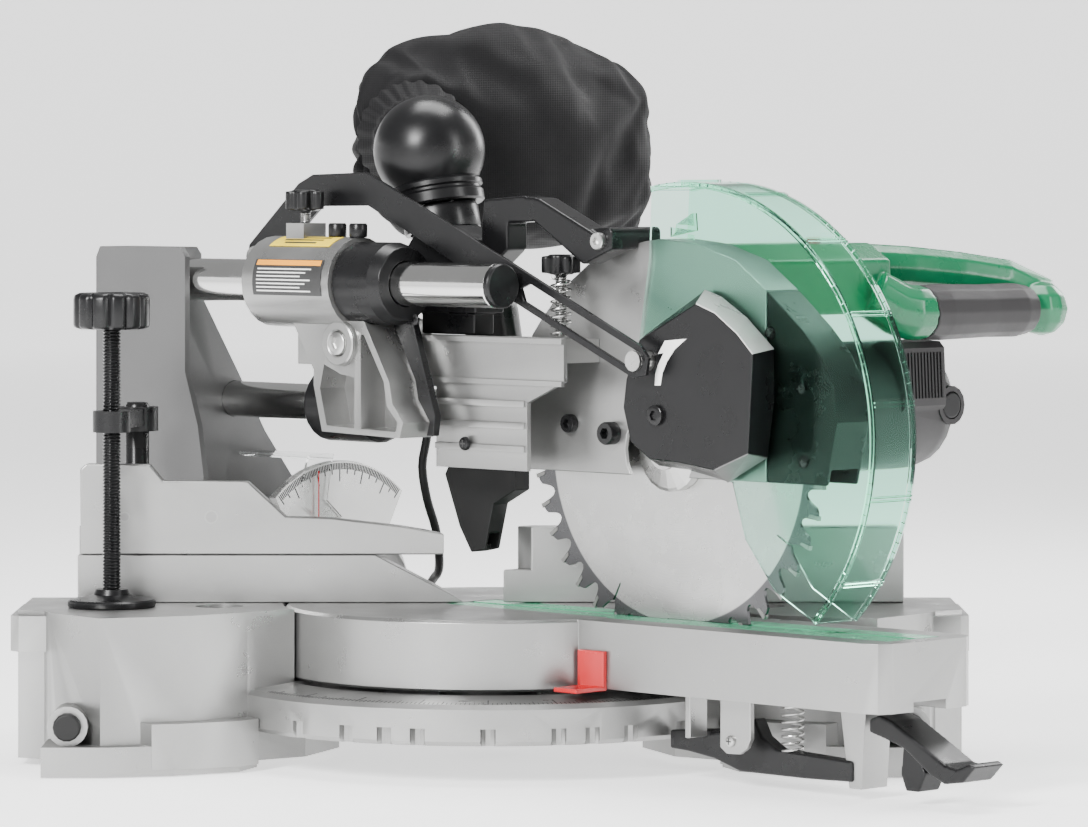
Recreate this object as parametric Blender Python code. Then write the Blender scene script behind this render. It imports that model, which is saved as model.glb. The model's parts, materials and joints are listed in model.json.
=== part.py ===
"""Sliding compound mitre saw, standing on its base with the arm mitred 45 degrees to the right.

World frame: X right, Y rearwards, Z up, origin on the ground under the middle of the whole saw.
The turntable and all it carries are drawn in the arm's own frame: u right of the blade,
v forward along the arm, z up. All sizes below are millimetres; MM turns them into metres.
"""

import math

import bmesh
import bpy
from mathutils import Matrix, Vector

MM = 0.001
GAP = 0.3

# Share of the full facet count that round shapes get
DETAIL = 0.62

# Driving dimensions
MITRE = 45.0
PIVOT = (-39.197, 1.414)
TABLE_Z = 100.0
BLADE_R = 127.5
TEETH = 40
ARBOR = (169.8, 207.0)
CHOP = (-44.0, 272.0)
MOTOR = (160.0, 229.0)
BRUSH = (227.8, 229.4)
UPPER_RAIL = (-80.0, 311.3)
LOWER_RAIL = (-33.5, 229.0)
UPPER_RAIL_R = 14.3
LOWER_RAIL_R = 12.2
GUARD_RIM = (196.5, 219.5)
GUARD_R = 158.0
DISC_R = 135.0
RING_R = 172.0
ARM_END = 381.0
FENCE_T = 19.0
LINK_FOOT = (-161.5, 327.0)
LINK_PIN = (191.7, 265.8)
POST = (-235.0, -29.0)
CLAMP = (-200.0, 142.7)
SCREW = (-247.0, 31.0)
NECK_TILT = 12.0
NECK = (-12.0, -36.0, 360.0)
GEAR_TEETH = 30
PINION_TEETH = 12
RELIEF = (28.0, -88.0)
CORD_D = 6.0
COIL_MID_R = 33.0
COIL_AT = (60.0, -335.0)

SILVER = ("casting_silver", (0.60, 0.60, 0.59), 0.45, 0.85)
GREY = ("casting_grey", (0.30, 0.30, 0.30), 0.45, 0.8)
STEEL = ("steel", (0.75, 0.75, 0.74), 0.2, 1.0)
BLACK = ("black_plastic", (0.02, 0.02, 0.02), 0.45, 0.0)
DARK = ("dark_grey_plastic", (0.09, 0.085, 0.09), 0.55, 0.0)
GREEN = ("green_plastic", (0.04, 0.30, 0.13), 0.35, 0.0)
CLEAR_GREEN = ("clear_green", (0.35, 0.80, 0.58), 0.1, 0.0)
CLEAR = ("clear", (0.85, 0.88, 0.86), 0.1, 0.0)
RED = ("red_plastic", (0.65, 0.02, 0.02), 0.35, 0.0)
RUBBER = ("rubber", (0.03, 0.03, 0.03), 0.7, 0.0)
FABRIC = ("fabric", (0.03, 0.028, 0.03), 0.9, 0.0)
COPPER = ("copper", (0.6, 0.25, 0.12), 0.35, 1.0)


def clear_scene():
    for obj in list(bpy.data.objects):
        bpy.data.objects.remove(obj, do_unlink=True)


def material(spec):
    name, colour, roughness, metallic = spec
    found = bpy.data.materials.get(name)
    if found:
        return found
    made = bpy.data.materials.new(name)
    made.use_nodes = True
    shader = made.node_tree.nodes["Principled BSDF"]
    shader.inputs["Base Color"].default_value = (*colour, 1.0)
    shader.inputs["Roughness"].default_value = roughness
    shader.inputs["Metallic"].default_value = metallic
    return made


# Shapes, as lists of faces' bmesh in the arm's frame: (u, v, z) becomes (u, -v, z)


def at(u, v, z):
    return Vector((u, -v, z))


def finish(bm):
    bmesh.ops.recalc_face_normals(bm, faces=bm.faces)
    return bm


def prism(points, axis, low, high):
    """A flat outline pushed along u (points are v, z), v (points are u, z) or z (points are u, v)."""
    place = {
        "u": lambda p, h: at(h, p[0], p[1]),
        "v": lambda p, h: at(p[0], h, p[1]),
        "z": lambda p, h: at(p[0], p[1], h),
    }[axis]
    bm = bmesh.new()
    bottom = [bm.verts.new(place(p, low)) for p in points]
    top = [bm.verts.new(place(p, high)) for p in points]
    bm.faces.new(bottom)
    bm.faces.new(top)
    for i in range(len(points)):
        j = (i + 1) % len(points)
        bm.faces.new((bottom[i], bottom[j], top[j], top[i]))
    return finish(bm)


def box(u0, u1, v0, v1, z0, z1):
    return prism([(u0, v0), (u1, v0), (u1, v1), (u0, v1)], "z", z0, z1)


def facets(n):
    return max(10, 2 * round(n * DETAIL / 2))


def circle(centre, r, n=32, start=0.0, stop=360.0):
    """Points on an arc; a full turn leaves out its last, repeated point."""
    full = abs(stop - start) >= 360
    n = facets(n) if full else n
    count = n if full else n + 1
    angles = [math.radians(start + (stop - start) * i / n) for i in range(count)]
    return [(centre[0] + r * math.cos(a), centre[1] + r * math.sin(a)) for a in angles]


def cyl(axis, centre, r, low, high, n=32):
    return prism(circle(centre, r, n), axis, low, high)


def turned(profile, axis, centre, n=32):
    """A closed outline of (radius, height) turned about an axis through centre."""
    n = facets(n)
    bm = bmesh.new()
    rings = []
    for r, h in profile:
        if r < 1e-6:
            rings.append([bm.verts.new(lift(axis, centre, 0, 0, h))])
            continue
        ring = []
        for i in range(n):
            a = 2 * math.pi * i / n
            ring.append(bm.verts.new(lift(axis, centre, r * math.cos(a), r * math.sin(a), h)))
        rings.append(ring)
    for i, here in enumerate(rings):
        there = rings[(i + 1) % len(rings)]
        if len(here) == 1 and len(there) == 1:
            continue
        for k in range(n):
            m = (k + 1) % n
            if len(here) == 1:
                bm.faces.new((here[0], there[k], there[m]))
            elif len(there) == 1:
                bm.faces.new((here[k], here[m], there[0]))
            else:
                bm.faces.new((here[k], here[m], there[m], there[k]))
    return finish(bm)


def lift(axis, centre, a, b, h):
    a += centre[0]
    b += centre[1]
    return {"u": at(h, a, b), "v": at(a, h, b), "z": at(a, b, h)}[axis]


def tube(path, radii, n=20, flat=1.0):
    """A round body through the path's points (u, v, z), one radius for each."""
    n = facets(n)
    bm = bmesh.new()
    points = [at(*p) for p in path]
    rings = []
    for i, here in enumerate(points):
        before = points[max(i - 1, 0)]
        after = points[min(i + 1, len(points) - 1)]
        turn = (after - before).to_track_quat("Z", "Y").to_matrix()
        ring = []
        for k in range(n):
            a = 2 * math.pi * k / n
            side = Vector((radii[i] * math.cos(a), flat * radii[i] * math.sin(a), 0))
            ring.append(bm.verts.new(here + turn @ side))
        rings.append(ring)
    for one, two in zip(rings, rings[1:]):
        for k in range(n):
            m = (k + 1) % n
            bm.faces.new((one[k], one[m], two[m], two[k]))
    bm.faces.new(rings[0])
    bm.faces.new(rings[-1])
    return finish(bm)


def ball(centre, r, n=20, squash=1.0):
    n = 2 * round(facets(n) / 2)
    bm = bmesh.new()
    bmesh.ops.create_uvsphere(bm, u_segments=n, v_segments=n // 2, radius=r)
    for vert in bm.verts:
        vert.co = at(*centre) + Vector((vert.co.x, vert.co.y, vert.co.z * squash))
    return finish(bm)


def gear(axis, centre, teeth, module, low, high, turn=0.0):
    """Straight teeth, thinner than the full ones so that the pair runs free."""
    points = []
    pitch = 360.0 / teeth
    root = module * (teeth / 2 - 1.25)
    tip = module * (teeth / 2 + 0.8)
    for i in range(teeth):
        middle = turn + i * pitch
        for r, share in ((root, -0.24), (tip, -0.09), (tip, 0.09), (root, 0.24)):
            a = math.radians(middle + share * pitch)
            points.append((centre[0] + r * math.cos(a), centre[1] + r * math.sin(a)))
    return prism(points, axis, low, high)


# Objects


def frame(name, origin=(0, 0, 0), parent=None, turn=0.0):
    """An empty on a joint's axis. Its children's meshes are drawn round it."""
    empty = bpy.data.objects.new(name, None)
    bpy.context.collection.objects.link(empty)
    place = at(*origin)
    empty["origin"] = list(place)
    empty.parent = parent
    before = Vector(parent["origin"]) if parent else Vector((0, 0, 0))
    empty.location = (place - before) * MM
    empty.rotation_euler.z = math.radians(turn)
    return empty


def to_object(name, bm, where, spec=None):
    origin = Vector(where["origin"])
    for vert in bm.verts:
        vert.co = (vert.co - origin) * MM
    mesh = bpy.data.meshes.new(name)
    bm.to_mesh(mesh)
    bm.free()
    obj = bpy.data.objects.new(name, mesh)
    bpy.context.collection.objects.link(obj)
    obj.parent = where
    if spec:
        mesh.materials.append(material(spec))
        mesh.shade_smooth()
        mesh.set_sharp_from_angle(angle=math.radians(35))
    return obj


def solid(name, where, spec, base, add=(), cut=(), then=()):
    """A node made of a base shape, the shapes joined to it, those cut from it and those joined last."""
    obj = to_object(name, base, where, spec)
    steps = [("UNION", bm) for bm in add] + [("DIFFERENCE", bm) for bm in cut] + [("UNION", bm) for bm in then]
    for i, (operation, bm) in enumerate(steps):
        helper = to_object(f"{name}_{operation.lower()}_{i}", bm, where)
        helper.hide_render = True
        helper.display_type = "WIRE"
        modifier = obj.modifiers.new(operation.title(), "BOOLEAN")
        modifier.operation = operation
        modifier.solver = "EXACT"
        modifier.object = helper
    return obj


def mirrored(points):
    return [(-x, y) for x, y in reversed(points)]


# The base and what is fixed to it


def build_base(world):
    wing = [
        (-306, -45), (-306, 52), (-288, 62), (-284, 76), (-247, 120), (-190, 100), (-156, 72),
        (-120, 46), (-100, -8), (-168, -10), (-205, -45),
    ]
    lug = [(-310, -30), (-310, 60), (-304, 68), (-284, 68), (-284, -30)]
    toe = [(-222, 112), (-214, 123.5), (-196, 119), (-160, 103), (-148, 88), (-150, 70), (-200, 70)]
    under = [(-299, -38), (-299, 48), (-281, 57), (-277, 72), (-244, 112), (-196, 94), (-182, 60),
             (-178, 10), (-192, -38)]
    foot = [(-284, 78), (-284, 130), (-243, 130), (-200, 120), (-160, 98), (-150, 70), (-190, 60)]
    rear_foot = [(-310, -45), (-310, -20), (-240, -20), (-240, -45)]
    pan = turned(
        [(24, 24), (RING_R - 3, 24), (RING_R, 27), (RING_R, 47), (RING_R - 3, 50), (138, 53),
         (138, 34), (34, 34), (34, 50), (24, 50)],
        "z", (0, 0), 72,
    )
    add, cut, feet = [], [cyl("z", (0, 0), DISC_R + 2, 53.2, 130, 72)], []
    for side in (list, mirrored):
        add.append(prism(side(wing), "z", 4, TABLE_Z))
        cut.append(prism(side(under), "z", -1, 92))
        feet.append(prism(side(foot), "z", 0, 19))
        feet.append(prism(side(toe), "z", 4, 33))
        feet.append(prism(side(lug), "z", 74, 97))
        feet.append(prism(side(rear_foot), "z", 0, 19))
    for turn in (-1, 1):
        cut.append(cyl("z", (turn * POST[0], POST[1]), 8.4, 50, 130, 24))
        cut.append(cyl("z", (turn * 177, 24), 16, 95, 130, 28))
        feet.append(cyl("v", (turn * 268, 31), 13, 82, 119, 28))
    cut += ring_notches()
    solid("base_casting", world, SILVER, pan, add, cut, feet)
    for side, x in (("left", -268), ("right", 268)):
        plug = turned([(0, 119.3), (9, 119.3), (9, 124.5), (8, 126), (0, 126)], "v", (x, 31), 24)
        solid(f"socket_plug_{side}", world, RUBBER, plug)


def ring_notches():
    """The detents of the usual mitre angles in the ring's lower edge, in front of the fence."""
    notches = []
    for angle in (-45, -31.6, -22.5, -15, 0, 15, 22.5, 31.6, 45):
        a = math.radians(angle)
        middle = ((RING_R - 1) * math.sin(a), (RING_R - 1) * math.cos(a))
        notches.append(cyl("z", middle, 5, 20, 35, 12))
    return notches


def build_fence(world):
    low, split = TABLE_Z + GAP, 131.5
    left = [(-272, low), (-17, low), (-24, 104.6), (-76, split), (-272, split)]
    lip = box(-272, -150, -FENCE_T, -13.6, 120, 150)
    stud_hole = cyl("v", CLAMP, 3, -25, -10, 16)
    gap_left = prism([(-15, 1), (60, 1), (60, -60), (-76, -60)], "z", 90, 200)
    lean = [(27.2, 57.6), (55.9, 28.9), (-28.9, -55.9), (-57.6, -27.2)]
    solid("fence_left", world, SILVER, prism(left, "v", -FENCE_T, 0), [lip], [gap_left, stud_hole])
    right = [(8, low), (272, low), (272, 146), (268, 150), (12, 150), (8, 146)]
    gap_right = prism([(7, 1), (-60, 1), (-60, -60), (68, -60)], "z", 90, 200)
    solid("fence_right", world, SILVER, prism(right, "v", -FENCE_T, 0), [], [gap_right, prism(lean, "z", 122, 200)])


def build_sub_fence(world):
    where = frame("sub_fence_axis", (-270, 0, 132), world)
    low = 131.5 + GAP
    outline = [
        (-270, low), (-15.6, low), (-16.3, 143.4), (-59.7, 150.6), (-106, 155.8), (-134.8, 156.6),
        (-159.8, 179.8), (-215.8, 180.3), (-224.6, 191), (-266.4, 191.4), (-270.4, 188.2),
    ]
    cut = prism([(-15, 1), (60, 1), (60, -60), (-76, -60)], "z", 90, 200)
    slot = box(-204, -136, -14, -5, 139.6, 145.8)
    lean = [(27.2, 57.6), (55.9, 28.9), (-28.9, -55.9), (-57.6, -27.2)]
    solid("sub_fence", where, SILVER, prism(outline, "v", -13.2, 0), [], [cut, slot, prism(lean, "z", 90, 200)])
    where = frame("sub_fence_knob_axis", (CLAMP[0], -30, CLAMP[1]), world)
    lobes = [cyl("v", (CLAMP[0] + 9 * math.cos(a), CLAMP[1] + 9 * math.sin(a)), 5, -37, -23, 12)
             for a in [2 * math.pi * i / 5 for i in range(5)]]
    neck = turned([(0, -24), (6, -24), (6, -FENCE_T - GAP), (2.6, -FENCE_T - GAP), (2.6, -6), (0, -6)], "v", CLAMP, 16)
    solid("sub_fence_knob", where, BLACK, cyl("v", CLAMP, 10, -37, -23, 20), lobes + [neck])


def build_vise(world):
    where = frame("vise_axis", (POST[0], POST[1], 60), world)
    post = turned([(0, 60), (8, 60), (8, 229), (6.5, 231), (0, 231)], "z", POST, 24)
    solid("vise_post", where, BLACK, post)
    reach = Vector((SCREW[0] - POST[0], SCREW[1] - POST[1]))
    side = Vector((-reach.y, reach.x)).normalized() * 8
    bar = [
        (POST[0] + side.x, POST[1] + side.y), (SCREW[0] + side.x, SCREW[1] + side.y),
        (SCREW[0] - side.x, SCREW[1] - side.y), (POST[0] - side.x, POST[1] - side.y),
    ]
    solid(
        "vise_arm", where, BLACK, cyl("z", POST, 14, 212, 228, 28),
        [prism(bar, "z", 216, 227), cyl("z", SCREW, 12.4, 214, 228, 28)],
        [cyl("z", POST, 8.3, 200, 240, 24), cyl("z", SCREW, 6.4, 200, 240, 24)],
    )
    travel = frame("vise_screw_axis", (*SCREW, 105), where)
    rod = turned([(0, 112), (6, 112), (6, 281), (0, 281)], "z", SCREW, 20)
    solid("vise_screw", travel, BLACK, rod)
    lobes = [cyl("z", (SCREW[0] + 21 * math.cos(a), SCREW[1] + 21 * math.sin(a)), 4.2, 281.3, 304, 10)
             for a in [2 * math.pi * i / 12 for i in range(12)]]
    knob = turned([(0, 281.3), (21, 281.3), (22, 283), (22, 303), (20, 305), (0, 305)], "z", SCREW, 36)
    solid("vise_knob", travel, BLACK, knob, lobes)
    foot = turned(
        [(0, 100.3), (28, 100.3), (28.7, 101.5), (28.7, 105), (26, 107), (11, 108.5), (10, 111.7), (0, 111.7)],
        "z", SCREW, 36,
    )
    solid("vise_foot", travel, BLACK, foot)


# The turntable and its arm


def build_turntable(table):
    disc = turned(
        [(0, 54.5), (DISC_R - 1.5, 54.5), (DISC_R, 56), (DISC_R, 98), (DISC_R - 2, TABLE_Z), (0, TABLE_Z)],
        "z", (0, 0), 72,
    )
    arm = [(-46, 60), (-46, 366), (-42, 376), (-34, ARM_END), (34, ARM_END), (42, 376), (46, 366), (46, 60)]
    neck = [(-34, -100), (34, -100), (34, -156), (-34, -156)]
    trough = [(-12, -18), (-12, 364), (12, 364), (12, -18)]
    inset = [(-24, -20), (-24, 368), (24, 368), (24, -20)]
    dome = turned([(0, -145.7), (44, -145.7), (44, -124), (38, -118), (0, -118)], "v", (0, TABLE_Z - 0.3), 40)
    leg = [(318, 60), (340, 60), (336, 6), (326, 6)]
    mouth = [(-15, 345), (-15, ARM_END + 9), (15, ARM_END + 9), (15, 345)]
    solid(
        "turntable", table, SILVER, disc,
        [prism(arm, "z", 57, TABLE_Z - 0.4), prism(neck, "z", 60, 96), dome,
         cyl("v", (0, TABLE_Z), 26, -158.3, -140, 32), cyl("v", (0, TABLE_Z), 12, -176, -150, 24)],
        [prism(inset, "z", 95.4, 120), prism(trough, "z", 66, 120), prism(mouth, "z", 50, 63)],
        [prism(leg, "u", -12, 12)],
    )
    for side, u0, u1 in (("left", -23.7, -3), ("right", 3, 23.7)):
        solid(f"kerf_board_{side}", table, CLEAR_GREEN, box(u0, u1, -19.5, 367.5, 95.7, 99.7))
    solid("miter_pointer", table, RED, box(-49.5, -46.3, 129, 152, 56, 81), [box(-74, -48, 132, 152, 56, 58.8)])
    fan = [(-30, 110), *circle((0, TABLE_Z), 88, 16, 132, 48), (30, 110)]
    solid("bevel_scale", table, STEEL, prism(fan, "v", -152.5, -146.3), [],
          [cyl("v", (0, TABLE_Z), 26.5, -160, -140, 32)])


def build_mitre_lever(table):
    where = frame("miter_lever_axis", (0, 352, 46), table)
    side = [
        (344, 50), (352, 53), (362, 50), (388, 36), (404, 27), (414, 25), (424, 29), (428, 27),
        (418, 17), (404, 15), (392, 20), (372, 34), (356, 39), (344, 42),
    ]
    lobe = [(378, 31), (386, 20), (380, 8), (370, 8), (366, 18), (368, 34)]
    solid("miter_lever", where, BLACK, prism(side, "u", -14, 14), [prism(lobe, "u", -10, 10)])


# The tilting holder with the rails


def build_holder(tilt):
    outline = [
        (-100, 112), (-100, 326), (-95, 333), (-68, 333), (-64, 328), (-64, 300), (-30, 246), (-6, 206),
        (24, 168), *circle((0, TABLE_Z), 62, 14, 50, -90), (-44, 52), (-62, 70), (-88, 96),
    ]
    pocket = [(-92, 190), (-92, 290), (-70, 290), (-36, 236), (-18, 205), (-10, 190)]
    plate = [(-283, 112), (-283, 326), (-279, 333), (-196, 333), (-191, 327), (-191, 250), (-178, 214),
             (-172, 180), (-176, 150), (-200, 130), (-215, 112)]
    solid(
        "holder", tilt, GREY, prism(outline, "v", -283, -215),
        [prism(plate, "u", -100, -95.6), cyl("v", (0, TABLE_Z), 62, -216, -176, 40),
         cyl("v", (0, TABLE_Z), 42, -178, -158.7, 40)],
        [prism(pocket, "v", -290, -236),
         cyl("v", UPPER_RAIL, UPPER_RAIL_R + GAP, -270, -180, 28),
         cyl("v", LOWER_RAIL, LOWER_RAIL_R + GAP, -270, -180, 28),
         cyl("v", (0, TABLE_Z), 12.4, -180, -150, 24)],
    )
    rail = turned([(0, -268), (UPPER_RAIL_R, -268), (UPPER_RAIL_R, 88.5), (0, 88.5)], "v", UPPER_RAIL, 32)
    solid("upper_rail", tilt, STEEL, rail)
    rail = turned([(0, -268), (LOWER_RAIL_R, -268), (LOWER_RAIL_R, 30), (0, 30)], "v", LOWER_RAIL, 28)
    solid("lower_rail", tilt, STEEL, rail)
    cap = turned([(0, 88.8), (14.6, 88.8), (14.6, 92), (13.4, 93.6), (0, 93.6)], "v", UPPER_RAIL, 32)
    solid("rail_cap", tilt, BLACK, cap)
    pointer = [(-34, 158), (-36, 178), (-30, 193), (-8, 193), (-10, 184), (-14, 162), (0, 150), (-16, 146)]
    solid("bevel_pointer", tilt, CLEAR, prism(pointer, "v", -145.6, -143.4), [box(-30, -8, -214.7, -144, 190, 193)])


def build_bevel_clamp(tilt):
    where = frame("bevel_clamp_axis", (0, -290, TABLE_Z), tilt)
    hub = turned([(0, -283.3), (14, -283.3), (14, -306), (11, -309), (0, -309)], "v", (0, TABLE_Z), 24)
    arm = [(-7, 100), (-12, 170), (-8, 178), (6, 178), (10, 170), (7, 100)]
    solid("bevel_clamp", where, BLACK, hub, [prism(arm, "v", -305, -294)])


# The carriage on the rails


def build_carriage(slide):
    bracket = [(-97, 292), (-72, 254), (-72, 244), (-64, 214), (10, 212), (13, 222), (3, 234), (0, 248), (-27, 292)]
    pocket_rear = [(-66, 242), (-59.5, 218), (-33, 217), (-33, 250), (-46, 252), (-62, 258)]
    pocket_front = [(-27, 217), (6, 216), (8, 222), (-2, 232), (-5, 248), (-24, 278), (-27, 278)]
    foot_lug = [(-172, 318), (-172, 336), (-150, 338), (-118, 330), (-118, 300), (-140, 312)]
    solid(
        "carriage", slide, SILVER, cyl("v", UPPER_RAIL, 30, -123, -39.3, 40),
        [prism(bracket, "u", -92, -62), cyl("u", CHOP, 15, -95, -62, 28),
         box(-64, -28, -118, -76, 256, 291), box(-40, 38, -97, -79, 262.3, 272), box(-90, -70, -101, -84, 330, 350),
         prism(foot_lug, "u", -58, -50)],
        [cyl("v", UPPER_RAIL, UPPER_RAIL_R + 0.5, -200, 60, 32),
         prism(pocket_rear, "u", -100, -70), prism(pocket_front, "u", -100, -70),
         cyl("u", CHOP, 8.4, -100, -50, 24), cyl("v", UPPER_RAIL, 27.4, -39.3, 20, 40),
         cyl("v", LOWER_RAIL, 25.4, -125, -60, 36)],
    )
    seal = turned([(14.8, -39), (27, -39), (27, -6), (24, 3), (14.8, 3)], "v", UPPER_RAIL, 36)
    skirt = [(-24, 296), (-4, 300), (22, 226), (20, 213), (13.6, 213), (16.5, 222), (6, 236), (3, 249)]
    solid("rail_seal", slide, BLACK, seal, [prism(skirt, "u", -72, -66)],
          [cyl("v", UPPER_RAIL, 14.8, -60, 60, 36)])
    cover = turned([(12.7, -121), (23, -121), (25, -118), (25, -68), (23, -66), (12.7, -66)], "v", LOWER_RAIL, 36)
    solid("lower_slide_cover", slide, BLACK, cover)
    pin = turned([(0, -97), (7.5, -97), (8, -96), (8, -24), (0, -24)], "u", CHOP, 24)
    solid("hinge_pin", slide, STEEL, pin)
    bolt = turned([(0, -66), (6, -66), (7, -65), (7, -62.4), (4, -62.4), (4, -58.3), (0, -58.3)], "u", LINK_FOOT, 20)
    solid("link_bolt", slide, STEEL, bolt)
    where = frame("slide_lock_axis", (-80, -93, 350), slide)
    lobes = [cyl("z", (-80 + 9 * math.cos(a), -93 + 9 * math.sin(a)), 4.5, 359, 371, 12)
             for a in [2 * math.pi * i / 5 for i in range(5)]]
    solid("slide_lock_knob", where, BLACK, cyl("z", (-80, -93), 9, 358, 372, 20),
          lobes + [cyl("z", (-80, -93), 3.2, 350.3, 359, 14)])


# The head


def offset_outline(points, centre, amount):
    """The outline drawn in towards a centre."""
    moved = []
    for x, y in points:
        dx, dy = centre[0] - x, centre[1] - y
        size = math.hypot(dx, dy)
        moved.append((x + dx / size * amount, y + dy / size * amount))
    return moved


GUARD_OUTLINE = [
    (34, 191), (34, 232), (46, 264), (56, 279), *circle(ARBOR, 133.5, 4, 142, 95), (172, 341.5),
    (203, 338.5), (236, 328.5), (264, 309), (290, 288), (306, 272), (318, 252), (321, 230), (312, 191),
]


def guard_shell(v0, v1):
    """The upper guard's wall between two upright planes."""
    inner = offset_outline(GUARD_OUTLINE, (176, 225), 3.6)
    inner[0] = (inner[0][0], 150)
    inner[-1] = (inner[-1][0], 150)
    outer = prism(GUARD_OUTLINE, "u", -17, 13)
    cuts = [prism(inner, "u", -14, 10.2)]
    if v0 > -900:
        cuts.append(box(-60, 60, -50, v0, 100, 420))
    if v1 < 900:
        cuts.append(box(-60, 60, v1, 420, 100, 420))
    return outer, cuts


def build_arm(head):
    wall = [(0, 192), (84, 192), (84, 236), (117, 250), (117, 278), (-20, 278), (-36, 288), (-50, 287),
            (-60, 276), (-58, 262), (-46, 256), (-20, 262), (-18, 244), (0, 244)]
    web = [(-49.8, -20), (-49.8, 117), (-17.3, 117), (-17.3, 36), (-24, 34), (-24, -20)]
    ribs = [box(-52, -49, -20, 117, z, z + 3.5) for z in (247, 274)]
    ribs += [box(-52, -49, 1, 83, z, z + 4) for z in (204, 219, 233)]
    solid(
        "head_arm", head, SILVER, prism(wall, "u", -49.8, -46.4),
        [prism(web, "z", 262, 277), cyl("u", CHOP, 16, -49.8, -26, 28)] + ribs,
        [cyl("u", CHOP, 8.4, -60, 0, 24)],
    )


def build_guards(head):
    outer, cuts = guard_shell(-1000, 262)
    hole = cyl("u", ARBOR, 30, -20, -12, 32)
    boss = cyl("u", ARBOR, 12, 5, 20, 24)
    solid("upper_guard", head, SILVER, outer, [], cuts + [hole, boss])
    outer, cuts = guard_shell(262.3, 1000)
    solid("guard_nose", head, BLACK, outer, [], cuts)


def build_gear_housing(head):
    block = [(110, 190), (100, 214), (100, 284), (106, 290.6), (168, 290.6), (196, 272), (206, 240),
             (206, 200), (196, 182), (176, 176), (140, 178)]
    neck = [(64, 222), (64, 262), (84, 280), (128, 288), (134, 240), (120, 214)]
    solid(
        "gear_housing", head, GREY, prism(block, "u", 18.4, 61.7),
        [prism(neck, "u", 13.3, 40)],
        [cyl("u", ARBOR, 21.5, 10, 43, 32), cyl("u", MOTOR, 11, 10, 43, 24),
         cyl("u", ARBOR, 8.4, 40, 54, 24), cyl("u", MOTOR, 6, 40, 70, 24)],
    )


def build_motor(head):
    shell = turned(
        [(0, 62), (40, 62), (43, 66), (43, 222), (41, 232), (34, 241), (22, 246), (0, 247)], "u", MOTOR, 40,
    )
    cavity = cyl("u", MOTOR, 37.6, 54, 225, 46)
    vent = prism([(182, 273), (200, 272), (204, 268), (206, 230), (192, 214), (170, 214), (164, 262)], "u", 178, 219.4)
    boss = cyl("v", BRUSH, 13, 188, 203.5, 24)
    solid("motor_housing", head, DARK, shell, [vent, boss],
          [cavity, cyl("v", BRUSH, 9.4, 199, 210, 24)])
    cap = turned([(0, 199.3), (9, 199.3), (9, 203), (8, 204), (0, 204)], "v", BRUSH, 24)
    solid("brush_cap", head, BLACK, cap)
    field = turned([(27, 92), (37.2, 92), (37.2, 184), (27, 184)], "u", MOTOR, 32)
    solid("motor_field", head, STEEL, field)


# The spindle cover's front and back outlines, corner for corner: v, z

COVER_FRONT = [
    (184.1, 278.5), (232.8, 302.2), (248.9, 296.7), (267.5, 284.4), (280.6, 272.1), (278.8, 243.8),
    (276.7, 210.6), (248.5, 199.6), (216.1, 203.3), (192.8, 204.2), (176.2, 214.9), (170.1, 236.0),
    (172.7, 253.7),
]
COVER_BACK = [
    (161.6, 280.5), (213.8, 309.8), (228.3, 305.4), (249.6, 293.0), (272.5, 274.2), (273.2, 242.8),
    (267.3, 207.3), (233.5, 190.3), (200.8, 196.5), (174.7, 198.0), (157.2, 208.7), (150.1, 229.4),
    (151.9, 251.7),
]


def taper(front, back, low, high):
    """A solid between two outlines, corner for corner, on two upright planes along u."""
    bm = bmesh.new()
    near = [bm.verts.new(at(low, v, z)) for v, z in front]
    far = [bm.verts.new(at(high, v, z)) for v, z in back]
    bm.faces.new(near)
    bm.faces.new(far)
    for i in range(len(near)):
        j = (i + 1) % len(near)
        bm.faces.new((near[i], near[j], far[j]))
        bm.faces.new((near[i], far[j], far[i]))
    return finish(bm)


def build_cover(head):
    solid(
        "spindle_cover", head, BLACK, taper(COVER_FRONT, COVER_BACK, -50, -21.5),
        [cyl("u", ARBOR, 19.6, -30, -14.5, 32)], [cyl("u", ARBOR, 14.6, -27, -10, 28)],
    )
    pin = turned(
        [(0, -50.3), (6.5, -50.3), (6.5, -56.7), (4.5, -56.7), (4.5, -62.2), (6.5, -62.2), (6.5, -64.4), (0, -64.4)],
        "u", LINK_PIN, 20,
    )
    solid("link_pin", head, STEEL, pin, [], [])


def build_handle(head):
    housing = [(112, 291), (112, 330), (122, 337), (168, 337), (186, 326), (190, 291)]
    bar = tube(
        [(180, 148, 320.6), (206, 149.3, 320.8), (236, 154, 319.6), (276, 165, 316), (310, 178, 311), (332.5, 195.2, 298.2)],
        [16.1, 15.8, 15.3, 14.8, 14.6, 14.2], 16,
    )
    front = tube([(168, 186, 304), (182, 195, 294), (190, 200, 291.2), (199, 200, 291.2)], [17, 18, 18.3, 18.3], 20)
    core = tube([(195, 200, 291.2), (320, 200, 291.2)], [11, 11], 16)
    solid("handle_frame", head, GREEN, prism(housing, "u", 18.4, 186), [bar, front, core, ball((324, 200, 291.5), 18.5, 20)],
          [box(222, 262, 178, 196, 281, 303), cyl("z", (150, 150), 6.4, 330.5, 345, 20)])
    grip = turned(
        [(11.3, 199.4), (18.2, 199.4), (19, 215), (18, 262), (18.4, 292), (16.5, 305), (11.3, 305)],
        "u", (200, 291.2), 24,
    )
    solid("handle_grip", head, DARK, grip, [], [box(224, 260, 170, 195, 284, 300), ball((324, 200, 291.5), 19.3, 20),
           tube([(296, 173, 314), (310, 178, 311), (332.5, 195.2, 298.2)], [15.4, 15.4, 15], 16)])
    where = frame("trigger_axis", (242, 190, 296), head)
    trigger = [(195.4, 296), (190, 298), (182, 295), (174, 286), (180, 285.5), (190, 286), (195.4, 288)]
    solid("trigger", where, BLACK, prism(trigger, "u", 226, 258))
    where = frame("lock_off_axis", (150, 150, 337), head)
    solid("lock_off_button", where, RED, cyl("z", (150, 150), 6, 334.5, 341.5, 20))


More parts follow.
